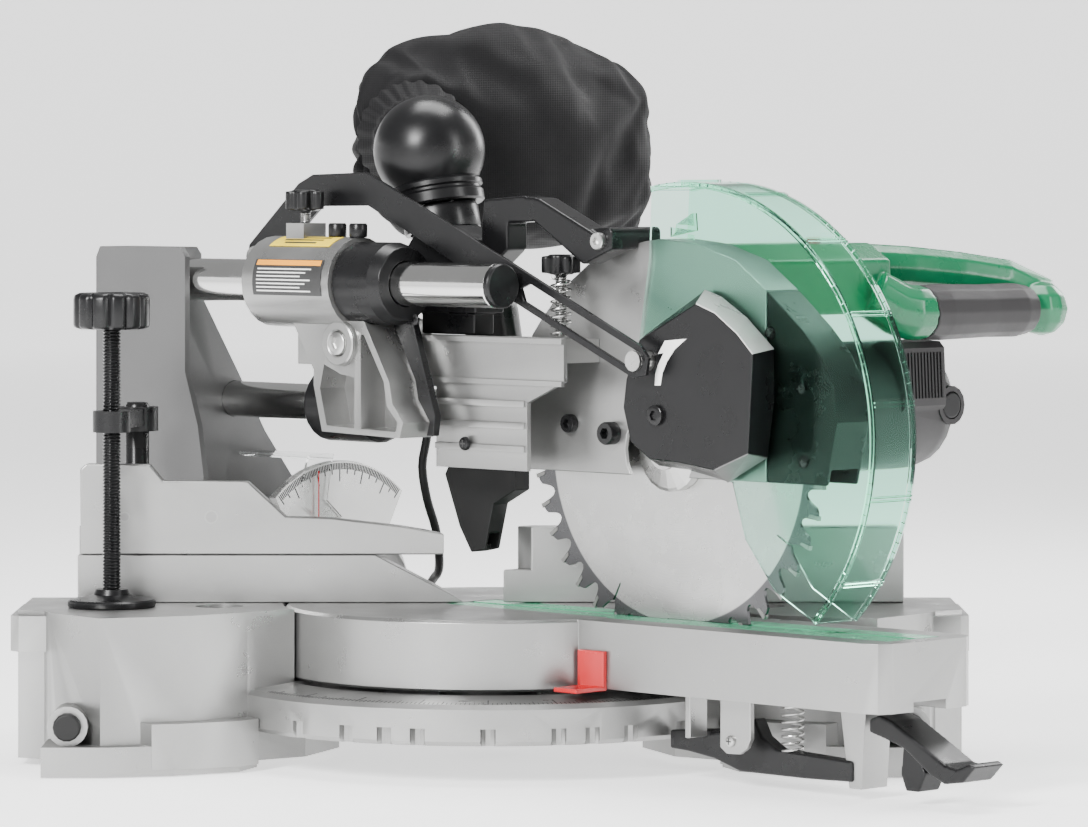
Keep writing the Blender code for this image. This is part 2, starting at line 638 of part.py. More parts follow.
def build_carry_handle(head):
    side = [(34, 350), (36, 366), (70, 368.5), (86, 367), (138, 344), (150, 349), (152, 346), (152, 335),
            (126, 325), (82, 352), (58, 351), (58, 334), (40, 320), (34, 320)]
    foot = [(118, 330), (120, 341), (130, 348), (150, 349), (152, 346), (152, 335)]
    over = [(p[0], p[1] + 0.35) for p in GUARD_OUTLINE]
    solid("carry_handle", head, BLACK, prism(side, "u", -42, -24), [prism(foot, "u", -38, 4)],
          [prism(over, "u", -17.4, 14)])


def build_duct(head):
    chute = [(-34, 184), (-30, 190.3), (32, 190.3), (32, 176), (12, 166), (4, 136), (-9, 133.5), (-20, 150)]
    inner = [(-28, 200), (26, 200), (26, 180), (6, 168), (0, 139), (-6, 138), (-16, 152)]
    solid(
        "dust_chute", head, RUBBER, prism(chute, "u", -9.5, 4.5), [],
        [prism(inner, "u", -7.5, 2.5), prism([(-2, 145), (20, 150), (20, 130), (-4, 128)], "u", -7.5, 2.5)],
    )
    rise = neck_rise()
    path = [(0, 8, 191), (0, 8, 220), (0, 7, 255), (-2, 2, 290), (-6, -14, 322), tuple(Vector(NECK) - rise * 14), NECK]
    bore = [(0, 8, 180), *path[1:-1], tuple(Vector(NECK) + rise * 8)]
    solid("dust_duct", head, BLACK, tube(path, [18, 18.5, 19, 19, 20, 21, 22], 24), [],
          [tube(bore, [15, 15.5, 16, 16, 17, 18, 19], 24)])
    side = [(-34, 292), (-36, 330), (-22, 347), (10, 349), (28, 340), (33, 318), (33, 292)]
    solid("arm_cover", head, BLACK, prism(side, "u", -46, -20), [prism([(-20, 278), (-20, 294), (30, 294), (30, 278)], "u", -44, -26)],
          [tube(path, [18.5, 19, 19.5, 19.5, 20.5, 21.5, 22.5], 24)])


def neck_rise():
    """The swivel axis of the dust elbow, leaning back over the duct."""
    lean = math.radians(NECK_TILT)
    return Vector((0, -math.sin(lean), math.cos(lean)))


def build_depth_stop(head):
    where = frame("depth_stop_axis", (-33, 98, 300), head)
    lobes = [cyl("z", (-33 + 9.5 * math.cos(a), 98 + 9.5 * math.sin(a)), 4, 319, 330, 12)
             for a in [2 * math.pi * i / 4 + 0.4 for i in range(4)]]
    solid("depth_stop", where, BLACK, cyl("z", (-33, 98), 8, 318, 331, 20),
          lobes + [cyl("z", (-33, 98), 3.5, 278.3, 325, 14)])


def build_lower_guard(guard):
    """Two clear side plates joined by a rim, open towards the arbor and at both ends."""
    start, stop = -46, 101
    rim = circle(GUARD_RIM, GUARD_R, 40, start, stop)
    near = [*rim, (164, 330), (155.6, 279), (150, 240), *circle(ARBOR, 32, 10, 140, -20), (236, 190),
            (247, 155), (272, 124)]
    inside = [*circle(GUARD_RIM, GUARD_R - 2.6, 40, start - 14, stop + 14), (140, 300), (120, 207), (200, 90)]
    shell = prism(near, "u", -20.5, 17)
    solid(
        "lower_guard", guard, CLEAR_GREEN, shell, [],
        [prism(inside, "u", -18, 14.5), cyl("u", ARBOR, 24.5, 10, 20, 32), cyl("u", ARBOR, 20, -25, -15, 32)],
    )


def build_link(link):
    top = [(-171, 326), (-169, 335), (-120, 376), (-106, 382), (-54, 383.5), (80, 326.5), (196, 275.5), (203, 268)]
    low = [(201, 257), (190, 255), (66, 308.5), (-52, 361.5), (-97, 361), (-152, 318), (-163, 316)]
    run = Vector((247, -106.5)).normalized()
    across = Vector((-run.y, run.x)) * 6.2
    rear, front = Vector((96, 307)), Vector(LINK_PIN)
    slot = [(rear + across).to_tuple()]
    for k in range(7):
        a = math.pi * k / 6
        slot.append((front + across * math.cos(a) + run * 6.2 * math.sin(a)).to_tuple())
    slot += [(rear - across).to_tuple(), (rear - run * 6.2).to_tuple()]
    solid("guard_link", link, BLACK, prism(top + low, "u", -62, -59), [],
          [prism(slot, "u", -70, -50), cyl("u", LINK_FOOT, 4.4, -70, -50, 16)])


# The turning parts


def build_blade(spin):
    points = []
    pitch = 2 * math.pi / TEETH
    for i in range(TEETH):
        base = -(i + 0.37) * pitch
        for share, r in ((0.0, BLADE_R), (0.28, BLADE_R - 3), (0.60, BLADE_R - 7.4), (0.80, BLADE_R - 12.2),
                         (0.94, BLADE_R - 10)):
            a = base - share * pitch
            points.append((ARBOR[0] + r * math.cos(a), ARBOR[1] + r * math.sin(a)))
    points.reverse()
    solid("blade", spin, STEEL, prism(points, "u", -1.2, 1.2), [], [cyl("u", ARBOR, 8.3, -5, 5, 24)])
    wheel_module = 2 * math.dist(ARBOR, MOTOR) / (GEAR_TEETH + PINION_TEETH)
    towards = math.degrees(math.atan2(MOTOR[1] - ARBOR[1], MOTOR[0] - ARBOR[0]))
    shaft = turned([(0, -8), (8, -8), (8, 1.5), (24, 1.5), (24, 6), (8, 7), (8, 53), (0, 53)], "u", ARBOR, 32)
    solid("spindle", spin, STEEL, shaft,
          [gear("u", ARBOR, GEAR_TEETH, wheel_module, 24, 36, towards)])
    flange = turned([(0, -15), (6, -15), (7, -14), (12, -14), (12, -11.5), (24, -9), (26, -8.3), (26, -1.5),
                     (8.3, -1.5), (8.3, -8.3), (0, -8.3)], "u", ARBOR, 32)
    solid("blade_flange", spin, STEEL, flange)


def build_armature(spin):
    wheel_module = 2 * math.dist(ARBOR, MOTOR) / (GEAR_TEETH + PINION_TEETH)
    towards = math.degrees(math.atan2(ARBOR[1] - MOTOR[1], ARBOR[0] - MOTOR[0]))
    half = 180.0 / PINION_TEETH
    shaft = turned(
        [(0, 22), (3.5, 22), (3.5, 66), (30, 68), (30, 78), (5, 80), (5, 96), (24, 96), (24, 180), (5, 180),
         (5, 192), (13, 192), (13, 214), (5, 214), (5, 222), (0, 222)], "u", MOTOR, 32,
    )
    solid("armature", spin, COPPER, shaft, [gear("u", MOTOR, PINION_TEETH, wheel_module, 24, 36, towards + half)])


# The dust bag on its elbow


def build_dust(head):
    where = frame("dust_elbow_axis", NECK, head)
    centre = (NECK[0] - 1, NECK[1] - 9, NECK[2] + 38)
    rise = neck_rise()
    low = Vector(NECK) + rise * 0.6
    high = Vector(NECK) + rise * 13
    collar = tube([tuple(low), tuple(high)], [29, 30], 28)
    mouth = tube([(centre[0] + 12, centre[1] - 16, centre[2] + 2), (centre[0] + 42, centre[1] - 57, centre[2] + 8)],
                 [27, 26], 28)
    solid("dust_elbow", where, BLACK, ball(centre, 37, 28), [collar, mouth],
          [tube([tuple(Vector(NECK) - rise * 4), tuple(Vector(NECK) + rise * 12)], [22.6, 22.6], 24)])
    build_bag(where)


def build_bag(where):
    """A full bag lying to the right behind the elbow: rounded sections along u."""
    sections = [(16, 405, 26, 12), (26, 408, 44, 26), (42, 411, 56, 36), (68, 409, 67, 42), (100, 409, 76, 44),
                (135, 409, 79, 45), (200, 406, 74, 44), (232, 403, 70, 41), (252, 400, 64, 36), (265, 396, 54, 25),
                (271, 393, 38, 12)]
    bm = bmesh.new()
    rings = []
    n = 24
    for u, z, high, deep in sections:
        ring = []
        for k in range(n):
            a = 2 * math.pi * k / n
            c, s = math.cos(a), math.sin(a)
            power = 0.75
            dv = deep * math.copysign(abs(c) ** power, c)
            dz = high * math.copysign(abs(s) ** power, s)
            ring.append(bm.verts.new(at(u, -134 + dv, z + dz)))
        rings.append(ring)
    for one, two in zip(rings, rings[1:]):
        for k in range(n):
            m = (k + 1) % n
            bm.faces.new((one[k], one[m], two[m], two[k]))
    bm.faces.new(rings[0])
    bm.faces.new(rings[-1])
    centre = (NECK[0] - 1, NECK[1] - 9, NECK[2] + 38)
    clear = tube([(centre[0] + 4, centre[1] - 6, centre[2] + 1), (centre[0] + 62, centre[1] - 84, centre[2] + 12)],
                 [29, 27.5], 28)
    solid("dust_bag", where, FABRIC, finish(bm), [], [clear, ball(centre, 37.6, 28)])


# The power cord, drawn in the arm's frame: u, v, z

CORD_ROUTE = [
    (28, -88, 234.7), (28, -88, 220), (27, -89.5, 203), (25.5, -92, 185), (29, -91, 163), (37, -91, 143),
    (47, -98, 124), (57, -109, 112), (65, -123, 105), (70, -138, 92), (73, -153, 73), (76, -167, 52),
    (79, -181, 31), (83, -197, 13), (88, -216, 4.5), (92, -238, 3.3), (93, -262, 3.3), (93, -284, 3.3),
    (93, -304.8, 3.3),
]


def smooth(points, steps):
    """A Catmull-Rom curve through the points."""
    p = [Vector(q) for q in points]
    p = [2 * p[0] - p[1]] + p + [2 * p[-1] - p[-2]]
    out = []
    for i in range(1, len(p) - 2):
        for k in range(steps):
            t = k / steps
            a, b, c, d = p[i - 1 : i + 3]
            out.append(0.5 * (2 * b + (c - a) * t + (2 * a - 5 * b + 4 * c - d) * t**2 + (3 * b - a - 3 * c + d) * t**3))
    out.append(p[-2])
    return out


def build_cord(table):
    points = smooth(CORD_ROUTE, 2)
    curve = bpy.data.curves.new("cord", "CURVE")
    curve.dimensions = "3D"
    curve.bevel_depth = CORD_D / 2 * MM
    curve.bevel_resolution = 2
    curve.use_fill_caps = True
    spline = curve.splines.new("POLY")
    spline.points.add(len(points) - 1)
    for point, place in zip(spline.points, points):
        point.co = (*(at(*place) * MM), 1)
    curve.materials.append(material(RUBBER))
    obj = bpy.data.objects.new("cord", curve)
    bpy.context.collection.objects.link(obj)
    obj.parent = table
    half = 1.5 * CORD_D
    ring = [(COIL_MID_R - half, 0.3), (COIL_MID_R + half, 0.3), (COIL_MID_R + half, 16), (COIL_MID_R + half - 2, 18),
            (COIL_MID_R - half + 2, 18), (COIL_MID_R - half, 16)]
    solid("cord_coil", table, RUBBER, turned(ring, "z", COIL_AT, 40))
    u, v = COIL_AT[0] - 62, COIL_AT[1] - 20
    plug = tube([(u, v + 20, 13.5), (u, v + 4, 13.5), (u, v - 14, 13.5)], [6, 13, 12.5], 20)
    blades = [box(u + d - 0.8, u + d + 0.8, v - 32, v - 12, 10.5, 16.5) for d in (-6.3, 6.3)]
    solid("cord_plug", table, RUBBER, plug, blades)


def build_cord_relief(slide):
    relief = tube([(*RELIEF, 262), (*RELIEF, 255), (*RELIEF, 235)], [8, 7.4, 3.6], 16)
    solid("cord_relief", slide, RUBBER, relief)


def main():
    clear_scene()
    world = frame("world_axis")
    world.location = (PIVOT[0] * MM, PIVOT[1] * MM, 0)
    build_base(world)
    build_fence(world)
    build_sub_fence(world)
    build_vise(world)
    table = frame("miter_axis", (0, 0, 0), world, MITRE)
    build_turntable(table)
    build_mitre_lever(table)
    tilt = frame("bevel_axis", (0, 0, TABLE_Z), table)
    build_holder(tilt)
    build_bevel_clamp(tilt)
    slide = frame("slide_axis", (UPPER_RAIL[0], 0, UPPER_RAIL[1]), tilt)
    build_carriage(slide)
    build_cord_relief(slide)
    link = frame("guard_link_axis", (0, *LINK_FOOT), slide)
    build_link(link)
    head = frame("chop_axis", (0, *CHOP), slide)
    build_arm(head)
    build_guards(head)
    build_gear_housing(head)
    build_motor(head)
    build_cover(head)
    build_handle(head)
    build_carry_handle(head)
    build_duct(head)
    build_depth_stop(head)
    build_dust(head)
    build_lower_guard(frame("lower_guard_axis", (0, *ARBOR), head))
    build_blade(frame("arbor_axis", (0, *ARBOR), head))
    build_armature(frame("motor_axis", (0, *MOTOR), head))
    build_cord(table)


main()
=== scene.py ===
"""Looks of the sliding mitre saw: finishes, fasteners, dust bag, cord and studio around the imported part."""

import json
import math

import bmesh
import bpy
from mathutils import Matrix, Vector, noise

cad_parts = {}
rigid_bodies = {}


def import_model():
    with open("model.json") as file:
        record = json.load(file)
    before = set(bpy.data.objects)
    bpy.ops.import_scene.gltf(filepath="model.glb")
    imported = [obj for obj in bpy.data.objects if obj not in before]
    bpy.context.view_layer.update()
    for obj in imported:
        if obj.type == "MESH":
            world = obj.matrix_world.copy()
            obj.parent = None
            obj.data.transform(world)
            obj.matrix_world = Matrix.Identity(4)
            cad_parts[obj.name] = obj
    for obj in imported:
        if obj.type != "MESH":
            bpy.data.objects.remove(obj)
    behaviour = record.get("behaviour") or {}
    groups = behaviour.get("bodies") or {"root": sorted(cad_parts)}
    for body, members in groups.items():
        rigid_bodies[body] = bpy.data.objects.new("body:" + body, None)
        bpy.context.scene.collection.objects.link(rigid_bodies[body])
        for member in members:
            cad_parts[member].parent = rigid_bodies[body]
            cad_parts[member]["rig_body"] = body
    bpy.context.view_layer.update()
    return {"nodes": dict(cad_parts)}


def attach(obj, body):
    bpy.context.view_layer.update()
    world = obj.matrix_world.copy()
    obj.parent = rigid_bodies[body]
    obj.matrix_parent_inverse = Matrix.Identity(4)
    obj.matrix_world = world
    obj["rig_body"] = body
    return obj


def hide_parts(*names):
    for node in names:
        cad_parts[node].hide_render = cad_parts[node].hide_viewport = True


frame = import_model()

MM = 0.001
C45 = math.sqrt(0.5)

# The turntable's axis in metres, then places in the arm's own frame: (v, z) for the arbor, the head's hinge
# and the guard's rim, (u, z) for the rails, and (u, v, z) for the neck of the dust elbow

PIVOT = Vector((-0.039197, 0.001414, 0))
ARBOR = (169.8, 207.0)
HINGE = (-44, 272)
UPPER_RAIL = (-80.0, 311.3)
LOWER_RAIL = (-33.5, 229.0)
GUARD_RIM = (196.5, 219.5)
NECK = (-12.0, -36.0, 360.0)


def arm(u, v, z):
    """A point in the arm's own frame (right, forward, up, in millimetres) as a world point."""
    return PIVOT + Vector((C45 * (u + v), C45 * (u - v), z)) * MM


def base(x, y, z):
    """A point beside the turntable's axis, in millimetres along the world's axes, as a world point."""
    return PIVOT + Vector((x, y, z)) * MM


ALONG_U = (arm(1, 0, 0) - arm(0, 0, 0)).normalized()
ALONG_V = (arm(0, 1, 0) - arm(0, 0, 0)).normalized()
UP = Vector((0, 0, 1))


# Camera


def add_camera():
    data = bpy.data.cameras.new("camera")
    data.sensor_width = 36
    data.lens = 174.24
    data.shift_y = -0.2256
    data.clip_end = 50
    camera = bpy.data.objects.new("camera", data)
    bpy.context.collection.objects.link(camera)
    camera.location = PIVOT + Vector((0.03505, -3.4665, 0.3863))
    camera.rotation_euler = (math.radians(90), 0, 0)
    bpy.context.scene.camera = camera


# Materials


def node(tree, kind, **values):
    made = tree.nodes.new(kind)
    for key, value in values.items():
        if key in made.inputs:
            made.inputs[key].default_value = value
        else:
            setattr(made, key, value)
    return made


def surface(name, colour, rough, metallic=0.0, grain=1400.0, bump=0.1, mottle=0.06, stretch=(1, 1, 1),
            depth=0.0002, coat=0.0, wear=0.0, clear=0.0, ior=1.45, shine=0.5):
    """A finish whose colour, roughness and relief all come from noise at the object's own scale."""
    mat = bpy.data.materials.new(name)
    mat.use_nodes = True
    tree = mat.node_tree
    shader = tree.nodes["Principled BSDF"]
    place = node(tree, "ShaderNodeTexCoord")
    mapping = node(tree, "ShaderNodeMapping", Scale=stretch)
    tree.links.new(place.outputs["Object"], mapping.inputs["Vector"])
    broad = node(tree, "ShaderNodeTexNoise", Scale=35.0, Detail=4.0, Roughness=0.6)
    fine = node(tree, "ShaderNodeTexNoise", Scale=grain, Detail=3.0, Roughness=0.65)
    tree.links.new(place.outputs["Object"], broad.inputs["Vector"])
    tree.links.new(mapping.outputs["Vector"], fine.inputs["Vector"])
    shades = node(tree, "ShaderNodeMix", data_type="RGBA")
    low = tuple(max(0.0, c * (1 - 2.2 * mottle)) for c in colour)
    high = tuple(min(1.0, c * (1 + 1.4 * mottle)) for c in colour)
    shades.inputs[6].default_value = (*low, 1)
    shades.inputs[7].default_value = (*high, 1)
    blend = node(tree, "ShaderNodeMath", operation="MULTIPLY_ADD")
    blend.inputs[1].default_value = 0.5
    tree.links.new(broad.outputs[0], blend.inputs[0])
    half = node(tree, "ShaderNodeMath", operation="MULTIPLY")
    half.inputs[1].default_value = 0.5
    tree.links.new(fine.outputs[0], half.inputs[0])
    tree.links.new(half.outputs[0], blend.inputs[2])
    tree.links.new(blend.outputs[0], shades.inputs[0])
    out = shades.outputs[2]
    if wear:
        out = worn(tree, out, wear, colour)
    tree.links.new(out, shader.inputs["Base Color"])
    gloss = node(tree, "ShaderNodeMapRange")
    gloss.inputs["From Min"].default_value = 0.3
    gloss.inputs["From Max"].default_value = 0.7
    gloss.inputs["To Min"].default_value = max(0.02, rough - 0.07)
    gloss.inputs["To Max"].default_value = min(1.0, rough + 0.07)
    tree.links.new(broad.outputs[0], gloss.inputs["Value"])
    tree.links.new(gloss.outputs[0], shader.inputs["Roughness"])
    relief = node(tree, "ShaderNodeBump", Strength=bump, Distance=depth)
    tree.links.new(fine.outputs[0], relief.inputs["Height"])
    tree.links.new(relief.outputs[0], shader.inputs["Normal"])
    shader.inputs["Metallic"].default_value = metallic
    shader.inputs["Specular IOR Level"].default_value = shine
    shader.inputs["Coat Weight"].default_value = coat
    shader.inputs["Coat Roughness"].default_value = 0.15
    if clear:
        shader.inputs["Transmission Weight"].default_value = clear
        shader.inputs["IOR"].default_value = ior
    return mat


def worn(tree, colour, amount, base_colour):
    """Paler rubbed edges, found from how sharply the surface turns."""
    shape = node(tree, "ShaderNodeNewGeometry")
    edge = node(tree, "ShaderNodeMapRange")
    edge.inputs["From Min"].default_value = 0.52
    edge.inputs["From Max"].default_value = 0.62
    edge.inputs["To Max"].default_value = amount
    tree.links.new(shape.outputs["Pointiness"], edge.inputs["Value"])
    mix = node(tree, "ShaderNodeMix", data_type="RGBA")
    mix.inputs[7].default_value = (*[min(1.0, c * 1.5 + 0.08) for c in base_colour], 1)
    tree.links.new(edge.outputs[0], mix.inputs[0])
    tree.links.new(colour, mix.inputs[6])
    return mix.outputs[2]


def blade_steel():
    """Ground steel with fine rings round the arbor and a darker outer band."""
    mat = surface("blade_steel", (0.62, 0.62, 0.61), 0.28, 1.0, grain=900, bump=0.03)
    tree = mat.node_tree
    shader = tree.nodes["Principled BSDF"]
    place = node(tree, "ShaderNodeTexCoord")
    away = node(tree, "ShaderNodeVectorMath", operation="DISTANCE")
    away.inputs[1].default_value = arm(0, *ARBOR)
    tree.links.new(place.outputs["Object"], away.inputs[0])
    rings = node(tree, "ShaderNodeTexNoise", noise_dimensions="1D", Scale=2600.0, Detail=4.0)
    tree.links.new(away.outputs["Value"], rings.inputs["W"])
    band = node(tree, "ShaderNodeMapRange")
    band.inputs["From Min"].default_value = 0.1095
    band.inputs["From Max"].default_value = 0.1105
    tree.links.new(away.outputs["Value"], band.inputs["Value"])
    tone = node(tree, "ShaderNodeMix", data_type="RGBA")
    tone.inputs[6].default_value = (0.66, 0.66, 0.65, 1)
    tone.inputs[7].default_value = (0.15, 0.15, 0.155, 1)
    tree.links.new(band.outputs[0], tone.inputs[0])
    lines = node(tree, "ShaderNodeMix", data_type="RGBA", blend_type="MULTIPLY")
    lines.inputs[0].default_value = 0.35
    tree.links.new(tone.outputs[2], lines.inputs[6])
    tree.links.new(rings.outputs[0], lines.inputs[7])
    tree.links.new(lines.outputs[2], shader.inputs["Base Color"])
    relief = node(tree, "ShaderNodeBump", Strength=0.12, Distance=0.0001)
    tree.links.new(rings.outputs[0], relief.inputs["Height"])
    tree.links.new(relief.outputs[0], shader.inputs["Normal"])
    return mat


def weave():
    """Black nylon weave: two crossed waves under a soft mottled tone."""
    mat = surface("bag_nylon", (0.0062, 0.006, 0.0066), 0.66, 0.0, grain=700, bump=0.15, mottle=0.2,
                  shine=0.12)
    tree = mat.node_tree
    shader = tree.nodes["Principled BSDF"]
    place = node(tree, "ShaderNodeTexCoord")
    total = node(tree, "ShaderNodeMath", operation="ADD")
    for i, direction in enumerate(("X", "Z")):
        threads = node(tree, "ShaderNodeTexWave", Scale=260.0, bands_direction=direction)
        tree.links.new(place.outputs["Object"], threads.inputs["Vector"])
        tree.links.new(threads.outputs["Fac"], total.inputs[i])
    relief = node(tree, "ShaderNodeBump", Strength=0.35, Distance=0.0003)
    tree.links.new(total.outputs[0], relief.inputs["Height"])
    tree.links.new(relief.outputs[0], shader.inputs["Normal"])
    shader.inputs["Sheen Weight"].default_value = 0.02
    return mat


def make_materials():
    return {
        "casting": surface("casting", (0.33, 0.33, 0.325), 0.33, 0.85, grain=1500, bump=0.3, wear=0.35,
                           mottle=0.1),
        "machined": surface("machined", (0.62, 0.62, 0.61), 0.28, 0.9, grain=500, bump=0.08,
                            stretch=(6, 0.4, 1)),
        "dark_casting": surface("dark_casting", (0.14, 0.14, 0.14), 0.38, 0.7, grain=1200, bump=0.3, wear=0.3,
                                mottle=0.1),
        "bright": surface("bright_paint", (0.56, 0.56, 0.55), 0.3, 0.35, grain=900, bump=0.06),
        "steel": surface("ground_steel", (0.72, 0.72, 0.71), 0.13, 1.0, grain=500, bump=0.02, mottle=0.03),
        "zinc": surface("zinc_steel", (0.55, 0.55, 0.54), 0.30, 1.0, grain=900, bump=0.06),
        "blade": blade_steel(),
        "black": surface("black_plastic", (0.005, 0.005, 0.0055), 0.30, 0.0, grain=1600, bump=0.15,
                         mottle=0.12, wear=0.06, shine=0.3),
        "black_metal": surface("black_metal", (0.007, 0.007, 0.0075), 0.26, 0.2, grain=1300, bump=0.12,
                               wear=0.12, shine=0.35),
        "dark": surface("dark_grip", (0.024, 0.0225, 0.0235), 0.5, 0.0, grain=1100, bump=0.4, mottle=0.1,
                        shine=0.3),
        "green": surface("green_plastic", (0.0, 0.135, 0.052), 0.3, 0.0, grain=1500, bump=0.08, coat=0.15),
        "guard": surface("guard_clear", (0.66, 0.95, 0.83), 0.04, 0.0, grain=300, bump=0.02, mottle=0.02,
                         clear=1.0, ior=1.12),
        "insert": surface("kerf_insert", (0.10, 0.48, 0.27), 0.25, 0.0, grain=900, bump=0.05, clear=0.35,
                          ior=1.3),
        "clear": surface("clear_plastic", (0.93, 0.95, 0.94), 0.05, 0.0, grain=300, bump=0.02, clear=1.0,
                         ior=1.15),
        "red": surface("red_plastic", (0.5, 0.004, 0.008), 0.25, 0.0, grain=1300, bump=0.06, coat=0.3),
        "rubber": surface("rubber", (0.009, 0.009, 0.009), 0.5, 0.0, grain=1500, bump=0.3, mottle=0.15,
                          shine=0.3),
        "bag": weave(),
        "yellow": surface("yellow_label", (0.85, 0.62, 0.02), 0.35, 0.0, grain=1500, bump=0.03),
        "orange": surface("orange_label", (0.85, 0.33, 0.02), 0.35, 0.0, grain=1500, bump=0.03),
        "white": surface("white_print", (0.85, 0.85, 0.83), 0.4, 0.0, grain=1500, bump=0.03),
        "print": surface("black_print", (0.03, 0.03, 0.03), 0.45, 0.0, grain=1500, bump=0.03),
        "copper": surface("copper", (0.55, 0.24, 0.12), 0.35, 1.0, grain=900, bump=0.1),
        "carbide": surface("carbide", (0.30, 0.30, 0.29), 0.38, 0.9, grain=1300, bump=0.1),
    }


# Making pieces


def make_piece(name, bm, body, mat, smooth=True, angle=38):
    """Makes a visible piece of a bmesh, which rides on a body."""
    mesh = bpy.data.meshes.new(name)
    bmesh.ops.recalc_face_normals(bm, faces=bm.faces)
    bm.to_mesh(mesh)
    bm.free()
    mesh.materials.append(MATS[mat])
    obj = bpy.data.objects.new(name, mesh)
    bpy.context.collection.objects.link(obj)
    if smooth:
        mesh.shade_smooth()
        mesh.set_sharp_from_angle(angle=math.radians(angle))
    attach(obj, body)
    return obj


def bevelled(obj, width, segments=2, angle=32):
    """Rounds the sharp edges by a width in millimetres."""
    bevel = obj.modifiers.new("edge", "BEVEL")
    bevel.width = width * MM
    bevel.segments = segments
    bevel.limit_method = "ANGLE"
    bevel.angle_limit = math.radians(angle)
    bevel.harden_normals = True
    return obj


def body_of(name):
    return frame["nodes"][name]["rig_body"]


def copied(name):
    """The CAD node's shape as clean faces with flat runs joined."""
    bm = bmesh.new()
    bm.from_mesh(frame["nodes"][name].data)
    bmesh.ops.remove_doubles(bm, verts=bm.verts, dist=2e-5)
    bmesh.ops.dissolve_limit(bm, angle_limit=math.radians(0.6), verts=bm.verts, edges=bm.edges)
    return bm


def refined(name, mat, width=0.7):
    """The CAD node with a small bevel on its edges."""
    obj = make_piece(f"{name}_cast", copied(name), body_of(name), mat)
    bevelled(obj, width)
    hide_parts(name)
    return obj


def moulded(name, mat, voxel=1.4, rounds=6, share=0.5):
    """The CAD node with every edge softened, as a moulded piece has."""
    obj = make_piece(f"{name}_moulded", copied(name), body_of(name), mat)
    remesh = obj.modifiers.new("remesh", "REMESH")
    remesh.mode = "VOXEL"
    remesh.voxel_size = voxel * MM
    remesh.use_smooth_shade = True
    ease = obj.modifiers.new("ease", "SMOOTH")
    ease.factor = 0.5
    ease.iterations = rounds
    fewer = obj.modifiers.new("fewer", "DECIMATE")
    fewer.ratio = share
    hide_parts(name)
    return obj


def shrunk(obj, share):
    """Draws a moving piece in towards its middle, which keeps it clear of its softened neighbour."""
    points = [vert.co for vert in obj.data.vertices]
    middle = sum(points, Vector()) / len(points)
    for vert in obj.data.vertices:
        vert.co = middle.lerp(vert.co, share)


def painted(name, mat):
    """Gives a CAD node that keeps its own shape a finish."""
    obj = frame["nodes"][name]
    for slot in obj.material_slots:
        slot.material = MATS[mat]
    obj.data.shade_smooth()
    obj.data.set_sharp_from_angle(angle=math.radians(38))


def frame_at(centre, direction):
    turn = Vector(direction).to_track_quat("Z", "Y").to_matrix().to_4x4()
    return Matrix.Translation(centre) @ turn


def turns(n):
    return [2 * math.pi * k / n for k in range(n)]


def ring_of(bm, place, h, n, radius):
    """n vertices round an axis at height h. The radius is a number, or a function of the angle."""
    ring = []
    for a in turns(n):
        r = radius(a) if callable(radius) else radius
        ring.append(bm.verts.new(place @ (Vector((r * math.cos(a), r * math.sin(a), h)) * MM)))
    return ring


def skin(bm, rings):
    """Faces from each ring to the next, where a ring may be a single point."""
    for one, two in zip(rings, rings[1:]):
        n = max(len(one), len(two))
        for k in range(n):
            m = (k + 1) % n
            corners = (one[k % len(one)], one[m % len(one)], two[m % len(two)], two[k % len(two)])
            distinct = list(dict.fromkeys(corners))
            if len(distinct) > 2:
                bm.faces.new(distinct)


def capped(bm, rings):
    """A skin with a flat face over each end."""
    skin(bm, rings)
    bm.faces.new(rings[0])
    bm.faces.new(rings[-1])


def lathe_bm(profile, centre, direction, n=48, bm=None):
    """A closed (radius, height) outline in millimetres, turned about a line through centre."""
    bm = bm or bmesh.new()
    place = frame_at(centre, direction)
    rings = [ring_of(bm, place, h, n if r else 1, r) for r, h in profile]
    skin(bm, [*rings, rings[0]])
    return bm


def prism_bm(points, bm=None):
    """A flat outline given twice: world points of its low side and its high side."""
    bm = bm or bmesh.new()
    low = [bm.verts.new(p) for p, _ in points]
    high = [bm.verts.new(q) for _, q in points]
    bm.faces.new(low)
    bm.faces.new(high)
    for i in range(len(points)):
        j = (i + 1) % len(points)
        bm.faces.new((low[i], low[j], high[j], high[i]))
    return bm


def plate_u(outline, u0, u1, bm=None):
    """(v, z) outline between two u planes."""
    return prism_bm([(arm(u0, v, z), arm(u1, v, z)) for v, z in outline], bm)


def hex_socket_screw(name, centre, direction, r, body, mat="black_metal", height=None):
    """A cap screw: knurled round head with a hexagon recess, facing along direction."""
    height = height or r * 0.9
    n = 36
    sixth = math.pi / 3

    def knurled(a):
        return r * (0.985 if round(a * n / math.tau) % 2 else 1.0)

    def hexagon(across):
        return lambda a: across * math.cos(sixth / 2) / math.cos(a % sixth - sixth / 2)

    outline = (
        (knurled, 0), (knurled, height * 0.85), (r * 0.9, height),
        (hexagon(r * 0.52), height), (hexagon(r * 0.46), height * 0.35),
    )
    bm = bmesh.new()
    place = frame_at(centre, direction)
    capped(bm, [ring_of(bm, place, h, n, radius) for radius, h in outline])
    return make_piece(name, bm, body, mat)


